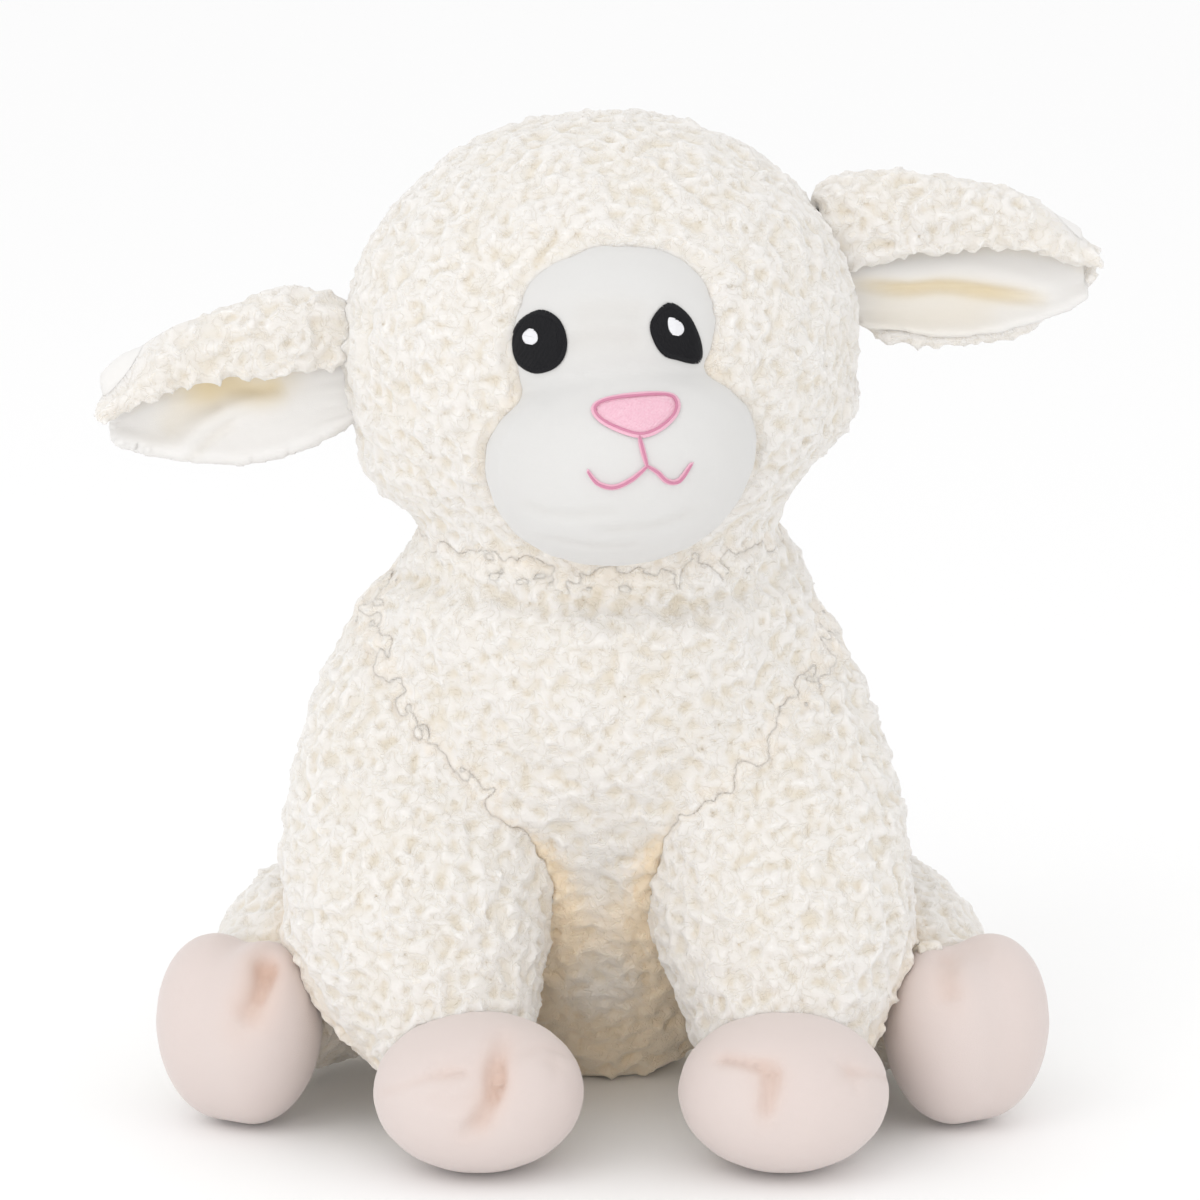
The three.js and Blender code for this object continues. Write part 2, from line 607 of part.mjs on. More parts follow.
// The middle of the folded sheet: `along` runs from the root to the tip, and `across` from the
// lower edge up the back, over the fold and down the flap in front.
function earSheet(name, side, along, across) {
  const low = -EAR_LOW * shareAt(EAR_LOW_SHARES, along);
  const top = EAR_TOP[name] * shareAt(EAR_TOP_SHARES, along);
  const fold = EAR_FOLD_RADIUS * shareAt(EAR_FOLD_SHARES, along);
  const flap = low + (top - low) * shareAt(EAR_FLAP_SHARES, along);
  const section = new THREE.SplineCurve([
    new THREE.Vector2(0, low),
    new THREE.Vector2(fold, low / 2),
    new THREE.Vector2(fold, top - fold),
    new THREE.Vector2(0, top),
    new THREE.Vector2(-fold, top - fold),
    new THREE.Vector2(-fold, flap),
  ]);
  const place = section.getPoint(across);
  const tangent = section.getTangent(across);
  const point = earPivot(name, side);
  point.x += side * (EAR_LENGTH[name] * along - EAR_ROOT_RADIUS);
  point.y += place.x;
  point.z += place.y - EAR_DROOP[name] * along;
  return { point, normal: v(0, tangent.y, -tangent.x) };
}

function between([low, high], t) {
  return low + (high - low) * t;
}

function ear(name, side) {
  const half = EAR_SHEET_THICKNESS / 2;
  const sheet = {
    at: (along, across) => earSheet(name, side, along, across),
    mirrored: side > 0,
  };
  const lined = {
    at: (along, across) => earSheet(
      name,
      side,
      between(EAR_LINING_ALONG_SHARES, along),
      between(EAR_LINING_ACROSS_SHARES, across),
    ),
    mirrored: side > 0,
  };
  const pivot = earPivot(name, side);
  const flop = { pivot, axis: Y, low: -EAR_FLOP_RANGE, high: EAR_FLOP_RANGE, steps: EAR_SWING_STEPS };
  const headSwept = ball.flatMap((shape) => swept(flop, plump(shape, SEAM_GAP)));
  const outer = sheetSolid(sheet, -half, half);
  const lining = sheetSolid(lined, -half - SEAM_GAP - VELOUR_THICKNESS, -half - SEAM_GAP);
  return [
    part(`${name}_ear_outer`, cut(outer, ...headSwept), pile),
    part(`${name}_ear_lining`, cut(lining, ...headSwept), liningVelour),
  ];
}

headGroup.add(...ear('right', -1), ...ear('left', 1));

// Limbs: a cover and a filling, ending in a velour hoof of two panels with a tucked cleft.
// A hoof is a list of lobes.
// The cover and the filling are cut back by the body through the whole swing of the leg, and
// every piece by its `neighbours`.
function limb({ name, leg, hoof, seam, cleft, swing, neighbours = [] }) {
  const filled = join(
    inner(leg, -PILE_THICKNESS - SEAM_GAP),
    forms(hoof, -VELOUR_THICKNESS - SEAM_GAP, inner),
  );
  const hollow = join(inner(leg, -PILE_THICKNESS), forms(hoof, -VELOUR_THICKNESS, inner));
  const fillingRoom = cut(hollow, form(cleft, VELOUR_THICKNESS));
  const bodySwept = swept(swing, plump(bodyShape, SEAM_GAP + SWING_CLEARANCE));
  const cover = cut(form(leg), hollow, belowFloor, ...bodySwept, ...neighbours);
  const stuffing = cut(
    filled,
    form(cleft, VELOUR_THICKNESS + SEAM_GAP),
    belowFloor,
    ...bodySwept,
    ...neighbours,
  );
  const skin = cut(forms(hoof), fillingRoom, form(cleft), form(leg, SEAM_GAP), belowFloor, ...neighbours);
  const thread = cut(form(cleft, -SEAM_GAP), seam.thread);
  const group = new THREE.Group();
  group.add(
    part(`${name}_cover`, cover, pile),
    part(`${name}_filling`, stuffing, filling),
    part(`${name}_hoof_top`, cut(skin, seam.under), hoofVelour),
    part(`${name}_hoof_sole`, cut(skin, seam.over), hoofVelour),
    part(`${name}_hoof_tuck`, thread, paleThread),
  );
  return group;
}

const foreHoofZ = FORE_HOOF_HALF_HEIGHT - FLAT_DEPTH;
function forelegShapes(name, side) {
  const shoulder = v(side * SHOULDER_X[name], SHOULDER_Y, SHOULDER_Z);
  const hoofX = side * FORE_HOOF_X[name];
  const toe = v(hoofX, FORE_HOOF_Y - FORE_HOOF_HALF_LENGTH, foreHoofZ);
  const heel = v(hoofX, FORE_HOOF_Y + FORE_HOOF_HALF_LENGTH, foreHoofZ);
  const ankle = v(hoofX, FORE_HOOF_Y + FORE_HOOF_HALF_LENGTH / 2, foreHoofZ / 2);
  const knee = shoulder.clone().lerp(ankle, 1 / 2).add(v(side * FOREKNEE_OUTSET[name], 0, 0));
  const leg = {
    spine: [shoulder.clone().addScaledVector(Z, FORELEG_ROOT_RISE), knee, ankle],
    across: X,
    halfWidth: FORELEG_HALF_WIDTH,
    halfDepth: FORELEG_HALF_DEPTH,
    widthShares: FORELEG_WIDTH_SHARES,
    depthShares: FORELEG_DEPTH_SHARES,
    around: SMALL_AROUND,
  };
  const hoof = {
    spine: [heel, toe],
    across: X,
    halfWidth: FORE_HOOF_HALF_WIDTH,
    halfDepth: FORE_HOOF_HALF_HEIGHT,
    around: SMALL_AROUND,
    rings: SMALL_RINGS,
  };
  return { shoulder, toe, leg, hoof: [hoof] };
}

function foreleg(name, side) {
  const { shoulder, toe, leg, hoof } = forelegShapes(name, side);
  const cleft = {
    spine: [toe.clone().addScaledVector(Y, -CLEFT_DEPTH), toe.clone().addScaledVector(Y, CLEFT_DEPTH)],
    across: X,
    halfWidth: CLEFT_HALF_WIDTH,
    halfDepth: CLEFT_HALF_HEIGHT,
    around: CLEFT_AROUND,
    rings: CLEFT_RINGS,
  };
  const half = SEAM_GAP / 2;
  const seam = {
    under: boxSolid(v(-REACH, -REACH, -REACH), v(REACH, REACH, foreHoofZ + half)),
    over: boxSolid(v(-REACH, -REACH, foreHoofZ - half), v(REACH, REACH, REACH)),
    thread: boxSolid(v(-REACH, -REACH, -REACH), v(REACH, toe.y + CLEFT_DEPTH - TUCK_THREAD_SIZE, REACH)),
  };
  const swing = { pivot: shoulder, axis: X, low: 0, high: FORELEG_SWING_MAX, steps: LEG_SWING_STEPS };
  return limb({ name: `${name}_foreleg`, leg, hoof, seam, cleft, swing });
}

// Half the height of a hind hoof, whose lobes lean
const hindHoofHalfHeight = Math.hypot(
  HIND_LOBE_HALF_HEIGHT * Math.cos(HIND_LOBE_LEAN),
  HIND_LOBE_HALF_WIDTH * Math.sin(HIND_LOBE_LEAN),
);

function hindLeg(name, side) {
  const hip = v(side * HIP_X, HIP_Y, HIP_Z);
  const middle = v(side * HIND_HOOF_X[name], HIND_HOOF_Y, hindHoofHalfHeight - FLAT_DEPTH);
  const out = v(side * Math.sin(HIND_TOE_OUT), -Math.cos(HIND_TOE_OUT), 0);
  const aside = Z.clone().cross(out);
  const knee = v(side * HIND_KNEE_X, HIND_KNEE_Y, HIP_Z);
  const leg = {
    spine: [v(side * HIP_X, HIP_Y + HIND_LEG_HALF_WIDTH / 2, HIP_Z), knee, middle],
    across: Z,
    halfWidth: HIND_LEG_HALF_HEIGHT,
    halfDepth: HIND_LEG_HALF_WIDTH,
    widthShares: HIND_HEIGHT_SHARES,
    depthShares: HIND_WIDTH_SHARES,
    around: SMALL_AROUND,
  };
  const lobe = (way) => {
    const centre = middle.clone().addScaledVector(aside, way * HIND_LOBE_ASIDE);
    return {
      spine: [
        centre.clone().addScaledVector(out, -HIND_HOOF_HALF_LENGTH),
        centre.clone().addScaledVector(out, HIND_HOOF_HALF_LENGTH),
      ],
      across: aside.clone().applyAxisAngle(out, -way * HIND_LOBE_LEAN),
      halfWidth: HIND_LOBE_HALF_WIDTH,
      halfDepth: HIND_LOBE_HALF_HEIGHT,
      around: SMALL_AROUND,
      rings: SMALL_RINGS,
    };
  };
  const hoof = [lobe(-1), lobe(1)];
  const notchTop = middle.clone().addScaledVector(out, HIND_SEAM_FORWARD);
  notchTop.addScaledVector(Z, hindHoofHalfHeight);
  const cleft = {
    spine: [
      notchTop.clone().addScaledVector(Z, CLEFT_DEPTH),
      notchTop.clone().addScaledVector(Z, -CLEFT_DEPTH),
    ],
    across: aside,
    halfWidth: CLEFT_HALF_WIDTH,
    halfDepth: CLEFT_HALF_HEIGHT,
    around: CLEFT_AROUND,
    rings: CLEFT_RINGS,
  };
  const plane = new THREE.Vector3(middle.x, middle.y, 0).addScaledVector(out, HIND_SEAM_FORWARD);
  const facing = Math.atan2(out.y, out.x);
  const halfSpace = (ahead) => {
    const box = new THREE.BoxGeometry(REACH, REACH, REACH);
    box.translate(ahead * (REACH - SEAM_GAP) / 2, 0, 0);
    return solidOf(box.rotateZ(facing).translate(plane.x, plane.y, 0));
  };
  const low = notchTop.z - CLEFT_DEPTH + TUCK_THREAD_SIZE;
  const seam = {
    under: halfSpace(1),
    over: halfSpace(-1),
    thread: boxSolid(v(-REACH, -REACH, low), v(REACH, REACH, REACH)),
  };
  const swing = { pivot: hip, axis: Z, low: 0, high: -side * HIND_LEG_SPREAD_MAX, steps: LEG_SWING_STEPS };
  const beside = forelegShapes(name, side);
  const neighbours = [form(beside.leg, SEAM_GAP), forms(beside.hoof, SEAM_GAP)];
  return limb({ name: `${name}_hind_leg`, leg, hoof, seam, cleft, swing, neighbours });
}

// Tail: a short plump stub, whose round end is let into the back of the body
function tail() {
  const spine = new THREE.CatmullRomCurve3(bodyShape.spine);
  const behind = spine.getTangent(TAIL_PLACE_SHARE).cross(X).negate();
  const roundness = Math.sqrt(1 - (2 * TAIL_PLACE_SHARE - 1) ** 2);
  const backDistance = BODY_HALF_DEPTH * shareAt(BODY_DEPTH_SHARES, TAIL_PLACE_SHARE) * roundness;
  const rootDistance = backDistance + TAIL_HALF_WIDTH - TAIL_SINK;
  const root = spine.getPoint(TAIL_PLACE_SHARE).addScaledVector(behind, rootDistance);
  const shape = {
    spine: [
      root.clone().addScaledVector(Y, -TAIL_HALF_WIDTH),
      root.clone().add(v(0, TAIL_LENGTH / 3, -TAIL_LENGTH / 6)),
      root.clone().add(v(0, TAIL_LENGTH / 2, -TAIL_LENGTH * 2 / 3)),
    ],
    across: X,
    halfWidth: TAIL_HALF_WIDTH,
    halfDepth: TAIL_HALF_WIDTH,
    widthShares: TAIL_WIDTH_SHARES,
    around: SMALL_AROUND,
    rings: SMALL_RINGS,
  };
  const wag = { pivot: root, axis: Z, low: -TAIL_WAG_RANGE, high: TAIL_WAG_RANGE, steps: LEG_SWING_STEPS };
  const cleared = cut(form(shape), ...swept(wag, plump(bodyShape, SEAM_GAP)));
  return part('tail', cleared, pile);
}

const sheep = new THREE.Group();
sheep.add(bodyGroup, headGroup, tail());
for (const [name, side] of [['right', -1], ['left', 1]]) {
  sheep.add(foreleg(name, side), hindLeg(name, side));
}

export default sheep;
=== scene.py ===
# %% [markdown]
# # A plush lamb in curly pile
#
# The lamb is a stuffed toy: a skin of curly pile round a fibre filling, a face and four hooves of
# smooth velour, and an embroidered face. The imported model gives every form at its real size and
# place, so each soft piece here grows out of the solids of that model. This lesson goes from the
# plain solids to skins, from skins to pile, and then to the small sewn details.

import math

import bmesh
import bpy
import numpy as np
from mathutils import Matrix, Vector, noise
from mathutils.bvhtree import BVHTree


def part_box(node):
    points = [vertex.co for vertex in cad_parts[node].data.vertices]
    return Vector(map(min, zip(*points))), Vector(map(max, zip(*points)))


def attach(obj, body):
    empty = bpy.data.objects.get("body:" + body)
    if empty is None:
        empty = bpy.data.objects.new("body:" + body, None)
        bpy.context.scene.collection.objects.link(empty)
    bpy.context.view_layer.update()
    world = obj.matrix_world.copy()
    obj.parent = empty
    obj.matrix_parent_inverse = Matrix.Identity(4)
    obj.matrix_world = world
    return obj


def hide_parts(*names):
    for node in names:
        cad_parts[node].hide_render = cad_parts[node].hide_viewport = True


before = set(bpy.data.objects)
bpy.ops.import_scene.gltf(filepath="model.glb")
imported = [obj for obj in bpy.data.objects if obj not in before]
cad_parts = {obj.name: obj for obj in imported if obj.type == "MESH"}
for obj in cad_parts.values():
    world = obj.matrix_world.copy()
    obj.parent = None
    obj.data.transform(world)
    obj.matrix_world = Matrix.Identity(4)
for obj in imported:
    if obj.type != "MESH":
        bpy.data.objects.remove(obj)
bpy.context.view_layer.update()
scene = bpy.context.scene
MM = 0.001

# %% [markdown]
# ## The camera
#
# The photograph was taken with a long lens from a little above the toy. With the scale of the
# photograph known, three numbers settle the view: how far away the camera stands, how high, and
# which point of the toy it looks at. A ray through a pixel then says where a sewn detail lies.

# %% Set the camera
PHOTO_SIZE = 1200
CAMERA_DISTANCE = 1.3
CAMERA_RISE = math.radians(12)
LENS = 139.2
SENSOR = 36
AIM = Vector((0, -0.042, 0.140))
AIM_PIXEL = (600, 618)

camera_data = bpy.data.cameras.new("camera")
camera_data.lens = LENS
camera_data.sensor_width = SENSOR
camera_data.shift_y = (AIM_PIXEL[1] - PHOTO_SIZE / 2) / PHOTO_SIZE
camera = bpy.data.objects.new("camera", camera_data)
camera_offset = Vector((0, -math.cos(CAMERA_RISE), math.sin(CAMERA_RISE))) * CAMERA_DISTANCE
camera.location = AIM + camera_offset
camera.rotation_euler = (math.pi / 2 - CAMERA_RISE, 0, 0)
scene.collection.objects.link(camera)
scene.camera = camera


def pixel_ray(x, y):
    """The camera's place and the direction of its ray through a pixel of the photograph."""
    focal = LENS / SENSOR * PHOTO_SIZE
    local = Vector(((x - AIM_PIXEL[0]) / focal, (AIM_PIXEL[1] - y) / focal, -1))
    turn = camera.rotation_euler.to_matrix()
    return camera.location.copy(), (turn @ local).normalized()


print("camera at", tuple(round(x, 3) for x in camera.location))

# %% [markdown]
# ## Light and floor
#
# A studio shot of a white toy on white. A bright sky gives even light. A large soft lamp from the
# upper left models the forms, a stronger one near the camera opens the shadows, and a weak one
# from the right keeps that side from going grey. The floor is plain and pale.

# %% Light the stage
FLOOR_SIZE = 16
SKY_STRENGTH = 1.0
LAMPS = {
    "key_lamp": {"place": (-0.7, -0.9, 1.2), "size": 0.8, "power": 2.2},
    "front_lamp": {"place": (-0.35, -1.7, 0.35), "size": 1.0, "power": 5.6},
    "side_lamp": {"place": (1.3, -0.9, 0.4), "size": 0.9, "power": 0.6},
}

scene.view_settings.view_transform = "Standard"
world = bpy.data.worlds.new("studio")
world.use_nodes = True
world.node_tree.nodes["Background"].inputs["Color"].default_value = (1, 1, 1, 1)
world.node_tree.nodes["Background"].inputs["Strength"].default_value = SKY_STRENGTH
scene.world = world


def soft_lamp(name, place, size, power):
    """A square lamp that faces the toy."""
    data = bpy.data.lights.new(name, "AREA")
    data.size = size
    data.energy = power
    lamp = bpy.data.objects.new(name, data)
    lamp.location = place
    lamp.rotation_euler = (AIM - Vector(place)).to_track_quat("-Z", "Y").to_euler()
    scene.collection.objects.link(lamp)


for name, settings in LAMPS.items():
    soft_lamp(name, **settings)

bpy.ops.mesh.primitive_plane_add(size=FLOOR_SIZE)
floor = bpy.context.object
floor.name = "floor"
print("lamps:", {name: settings["power"] for name, settings in LAMPS.items()})

# %% [markdown]
# ## One effect for every cloth
#
# Pile, velour and thread all have fibres. Up close they break the light into small streaks, curls
# leave thin winding grooves between them, and the tone wanders a little from tuft to tuft. That
# effect is one node group, used by each material with sizes of its own.


# %% Build the fibre group
GROOVE_WIDTH = 0.055


def add(tree, kind, inputs=None, **settings):
    """Adds a node, with settings, and links or sets its inputs by name or number."""
    node = tree.nodes.new(kind)
    for key, value in settings.items():
        setattr(node, key, value)
    for key, value in (inputs or {}).items():
        if isinstance(value, bpy.types.NodeSocket):
            tree.links.new(value, node.inputs[key])
        else:
            node.inputs[key].default_value = value
    return node


def fibre_group():
    """A shader group: curly grooves, fibre streaks of a given size, and slow patches of tone."""
    tree = bpy.data.node_groups.new("fibres", "ShaderNodeTree")
    for name in ("Fibre Scale", "Groove Scale", "Patch Scale"):
        tree.interface.new_socket(name, in_out="INPUT", socket_type="NodeSocketFloat")
    for name in ("Streaks", "Grooves", "Patches"):
        tree.interface.new_socket(name, in_out="OUTPUT", socket_type="NodeSocketFloat")
    entry = add(tree, "NodeGroupInput")
    place = add(tree, "ShaderNodeTexCoord")
    fine = add(tree, "ShaderNodeTexNoise", {
        "Vector": place.outputs["Object"],
        "Scale": entry.outputs["Fibre Scale"],
        "Detail": 3.0,
        "Distortion": 1.6,
    })
    folds = add(tree, "ShaderNodeTexNoise", {
        "Vector": place.outputs["Object"],
        "Scale": entry.outputs["Groove Scale"],
        "Detail": 2.0,
        "Distortion": 0.9,
    })
    centred = add(tree, "ShaderNodeMath", {0: folds.outputs["Fac"], 1: 0.5}, operation="SUBTRACT")
    from_line = add(tree, "ShaderNodeMath", {0: centred.outputs[0]}, operation="ABSOLUTE")
    grooves = add(tree, "ShaderNodeMapRange", {
        "Value": from_line.outputs[0],
        "From Max": GROOVE_WIDTH,
    }, interpolation_type="SMOOTHSTEP")
    patches = add(tree, "ShaderNodeTexNoise", {
        "Vector": place.outputs["Object"],
        "Scale": entry.outputs["Patch Scale"],
        "Detail": 1.0,
    })
    leave = add(tree, "NodeGroupOutput")
    tree.links.new(fine.outputs["Fac"], leave.inputs["Streaks"])
    tree.links.new(grooves.outputs[0], leave.inputs["Grooves"])
    tree.links.new(patches.outputs["Fac"], leave.inputs["Patches"])
    return tree


fibres = fibre_group()
print("fibre group with", len(fibres.nodes), "nodes")

# %% [markdown]
# ## Cloth and thread
#
# The pile is ivory at its tips. Deep between the curls its colour is a painted shade of warm cream,
# where light has bounced many times. Its mesh carries two attributes: `depth` is 0 at the bottom of
# the pile and 1 at its tips, and a second one is high in enclosed places, where a golden shade is
# painted. The material mixes its tones by them. A little subsurface scattering lets light pass
# through the curls. Velour and thread are simpler; some of them have painted shade in their folds or
# along a line.


# %% Make the materials
FIBRE_DEPTH = 0.4 * MM
GROOVE_SCALE = 260
SOFT_SCALE = 3 * MM
SOFT_RADIUS = (0.8, 0.8, 0.8)
VELOUR = {"fibre_scale": 2200, "soft": 0.1}
SATIN = {"fibre_scale": 3000, "bump": 0.3, "roughness": 0.5}


def add_mix(tree, factor, low, high):
    """A mix of two colours, each a tuple or a socket; gives the result's socket."""
    node = add(tree, "ShaderNodeMix", data_type="RGBA")
    tree.links.new(factor, node.inputs[0])
    for place, colour in ((6, low), (7, high)):
        if isinstance(colour, bpy.types.NodeSocket):
            tree.links.new(colour, node.inputs[place])
        else:
            node.inputs[place].default_value = (*colour, 1)
    return node.outputs[2]


def cloth(name, colour, shade, fibre_scale, bump, roughness=0.9, sheen=0.3,
          painted_shade=None, warm_shade=None, grooves=0.0, soft=0.0, patch_scale=45):
    """A cloth of two near tones, with painted shade: one tone low in the pile and in creases, a warm one
    in enclosed places.
    """
    material = bpy.data.materials.new(name)
    material.use_nodes = True
    tree = material.node_tree
    shader = tree.nodes["Principled BSDF"]
    shader.inputs["Roughness"].default_value = roughness
    shader.inputs["Sheen Weight"].default_value = sheen
    shader.inputs["Sheen Roughness"].default_value = 0.5
    shader.inputs["Specular IOR Level"].default_value = 0.2
    shader.inputs["Subsurface Weight"].default_value = soft
    shader.inputs["Subsurface Radius"].default_value = SOFT_RADIUS
    shader.inputs["Subsurface Scale"].default_value = SOFT_SCALE
    group = add(tree, "ShaderNodeGroup", node_tree=fibres)
    group.inputs["Fibre Scale"].default_value = fibre_scale
    group.inputs["Groove Scale"].default_value = GROOVE_SCALE
    group.inputs["Patch Scale"].default_value = patch_scale
    tone = add_mix(tree, group.outputs["Patches"], shade, colour)
    height = group.outputs["Streaks"]
    # Painted shade: the colour turns to the deep tone where `depth` is low, and more so in the grooves
    # between curls.
    if painted_shade:
        factor = add(tree, "ShaderNodeAttribute", attribute_name="depth").outputs["Fac"]
        if grooves:
            shallow = add(tree, "ShaderNodeMapRange", {
                "Value": group.outputs["Grooves"],
                "To Min": 1 - grooves,
            })
            factor = add(tree, "ShaderNodeMath", {
                0: factor,
                1: shallow.outputs[0],
            }, operation="MULTIPLY").outputs[0]
            height = add(tree, "ShaderNodeMath", {
                0: group.outputs["Grooves"],
                1: group.outputs["Streaks"],
            }, operation="ADD").outputs[0]
        tone = add_mix(tree, factor, painted_shade, tone)
    # Painted warm shade in enclosed places.
    if warm_shade:
        warmth = add(tree, "ShaderNodeAttribute", attribute_name="warmth")
        tone = add_mix(tree, warmth.outputs["Fac"], tone, warm_shade)
    tree.links.new(tone, shader.inputs["Base Color"])
    relief = add(tree, "ShaderNodeBump", {
        "Height": height,
        "Strength": bump,
        "Distance": FIBRE_DEPTH,
    })
    tree.links.new(relief.outputs["Normal"], shader.inputs["Normal"])
    return material


IVORY = (0.785, 0.763, 0.74)
IVORY_SHADE = (0.77, 0.743, 0.71)
# Painted shade deep in the pile, and painted warm shade in enclosed places.
CREVICE_PAINTED_SHADE = (0.76, 0.70, 0.60)
ENCLOSED_PAINTED_SHADE = (0.88, 0.68, 0.42)
# The third tone of each velour is the painted shade of its folds.
WHITE_VELOUR, WHITE_SHADOW, WHITE_PAINTED_SHADE = (0.675, 0.67, 0.66), (0.66, 0.65, 0.635), (0.60, 0.565, 0.52)
BLUSH_VELOUR, BLUSH_SHADOW, PEACH_PAINTED_SHADE = (0.69, 0.605, 0.575), (0.675, 0.585, 0.555), (0.65, 0.46, 0.37)
LINING, LINING_SHADOW, GOLDEN_PAINTED_SHADE = (0.78, 0.77, 0.755), (0.77, 0.75, 0.73), (0.74, 0.62, 0.40)
pile_cloth = cloth(
    "pile", IVORY, IVORY_SHADE, fibre_scale=900, bump=0.6,
    painted_shade=CREVICE_PAINTED_SHADE, warm_shade=ENCLOSED_PAINTED_SHADE, grooves=0.3, soft=0.8,
)
face_cloth = cloth("face_velour", WHITE_VELOUR, WHITE_SHADOW, bump=0.25, painted_shade=WHITE_PAINTED_SHADE, **VELOUR)
hoof_cloth = cloth("hoof_velour", BLUSH_VELOUR, BLUSH_SHADOW, bump=0.25, painted_shade=PEACH_PAINTED_SHADE, **VELOUR)
lining_cloth = cloth("lining_velour", LINING, LINING_SHADOW, bump=0.2, painted_shade=GOLDEN_PAINTED_SHADE, **VELOUR)
BLACK, BLACK_SHADE = (0.010, 0.010, 0.012), (0.006, 0.006, 0.008)
WHITE, WHITE_SHADE = (0.86, 0.86, 0.88), (0.80, 0.80, 0.82)
PINK, PINK_SHADE = (0.92, 0.66, 0.74), (0.84, 0.48, 0.59)
# The third rose tone is a painted shadow, on the line along the seam.
ROSE, ROSE_SHADE, ROSE_PAINTED_SHADOW = (0.86, 0.52, 0.63), (0.83, 0.48, 0.59), (0.62, 0.25, 0.37)
STIPPLE_SCALE = 1500
FLOOR_WHITE = (0.97, 0.97, 0.97, 1)
threads = {
    "black_thread": cloth("black_satin", BLACK, BLACK_SHADE, sheen=0.05, **SATIN),
    "white_thread": cloth("white_satin", WHITE, WHITE_SHADE, sheen=0.1, **SATIN),
    "pink_thread": cloth("pink_satin", PINK, PINK_SHADE, sheen=0.1, patch_scale=STIPPLE_SCALE, **SATIN),
    "dark_pink_thread": cloth("rose_satin", ROSE, ROSE_SHADE, sheen=0.1, painted_shade=ROSE_PAINTED_SHADOW, **SATIN),
}
floor_paint = bpy.data.materials.new("floor_paint")
floor_paint.use_nodes = True
floor_shader = floor_paint.node_tree.nodes["Principled BSDF"]
floor_shader.inputs["Base Color"].default_value = FLOOR_WHITE
floor_shader.inputs["Roughness"].default_value = 0.9
floor.data.materials.append(floor_paint)
print("materials:", len(bpy.data.materials))

# %% [markdown]
# ## From solids to skins
#
# A stuffed form has no facets and no gaps. So the solids of one limb are joined in a copy, a
# voxel remesh closes the seams between them into one skin of even squares, and a few rounds of
# smoothing take away the facets. What is left is the form that the filling gives the cloth.


# %% Grow a skin from solids
SAME_POINT = 0.001 * MM
SMOOTH_FACTOR = 0.5


def merged_copy(nodes):
    """One bmesh of copies of CAD nodes, with their loose triangles merged."""
    whole = bmesh.new()
    for node in nodes:
        whole.from_mesh(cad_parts[node].data)
    bmesh.ops.remove_doubles(whole, verts=whole.verts, dist=SAME_POINT)
    return whole


def baked(obj):
    """The mesh that an object's modifiers make of it, as a new mesh; the object is removed."""
    graph = bpy.context.evaluated_depsgraph_get()
    mesh = bpy.data.meshes.new_from_object(
        obj.evaluated_get(graph), preserve_all_data_layers=True, depsgraph=graph
    )
    bpy.data.objects.remove(obj)
    return mesh


def placed(name, mesh):
    """A new object at the origin that shows a mesh."""
    mesh.name = name
    obj = bpy.data.objects.new(name, mesh)
    scene.collection.objects.link(obj)
    return obj


def largest_part(mesh):
    """Keeps the largest connected part of a mesh and deletes the rest."""
    work = bmesh.new()
    work.from_mesh(mesh)
    visited = set()
    parts = []
    for start in work.verts:
        if start in visited:
            continue
        visited.add(start)
        stack, part = [start], []
        while stack:
            vert = stack.pop()
            part.append(vert)
            for edge in vert.link_edges:
                other = edge.other_vert(vert)
                if other not in visited:
                    visited.add(other)
                    stack.append(other)
        parts.append(part)
    parts.sort(key=len)
    for part in parts[:-1]:
        bmesh.ops.delete(work, geom=part, context="VERTS")
    work.to_mesh(mesh)
    work.free()
    return mesh


def melted(obj, voxel, rounds):
    """Turns an object into one smooth skin of squares about `voxel` wide, and gives its mesh."""
    remesh = obj.modifiers.new("remesh", "REMESH")
    remesh.mode = "VOXEL"
    remesh.voxel_size = voxel
    smooth = obj.modifiers.new("smooth", "SMOOTH")
    smooth.factor = SMOOTH_FACTOR
    smooth.iterations = rounds
    return largest_part(baked(obj))


def skin(name, nodes, voxel, rounds):
    """The smooth outer skin of several solids."""
    whole = merged_copy(nodes)
    mesh = bpy.data.meshes.new(name)
    whole.to_mesh(mesh)
    whole.free()
    return melted(placed(name, mesh), voxel, rounds)


def points_of(mesh):
    """A mesh's vertices as an array of rows."""
    flat = np.empty(len(mesh.vertices) * 3)
    mesh.vertices.foreach_get("co", flat)
    return flat.reshape(-1, 3)


def normals_of(mesh):
    """A mesh's vertex normals as an array of rows."""
    flat = np.empty(len(mesh.vertices) * 3)
    mesh.vertex_normals.foreach_get("vector", flat)
    return flat.reshape(-1, 3)


def move_points(mesh, points):
    """Writes an array of rows back to a mesh's vertices."""
    mesh.vertices.foreach_set("co", points.ravel())
    mesh.update()


def tree_of(mesh):
    """A search tree over a mesh's faces."""
    return BVHTree.FromPolygons([v.co for v in mesh.vertices], [p.vertices for p in mesh.polygons])


def heights_over(mesh, tree):
    """For each vertex of a mesh, its height over a closed surface, and the face that is nearest."""
    heights = np.empty(len(mesh.vertices))
    faces = np.empty(len(mesh.vertices), dtype=int)
    for i, vertex in enumerate(mesh.vertices):
        near, normal, faces[i], gap = tree.find_nearest(vertex.co)
        heights[i] = gap if (vertex.co - near).dot(normal) > 0 else -gap
    return heights, faces


def distance_outside(mesh, other):
    """For each vertex of a mesh, how far it lies outside another closed mesh; below 0 is inside."""
    return heights_over(mesh, tree_of(other))[0]


def ramp(values, low, high):
    """Smooth step from 0 at low to 1 at high."""
    t = np.clip((values - low) / (high - low), 0, 1)
    return t * t * (3 - 2 * t)


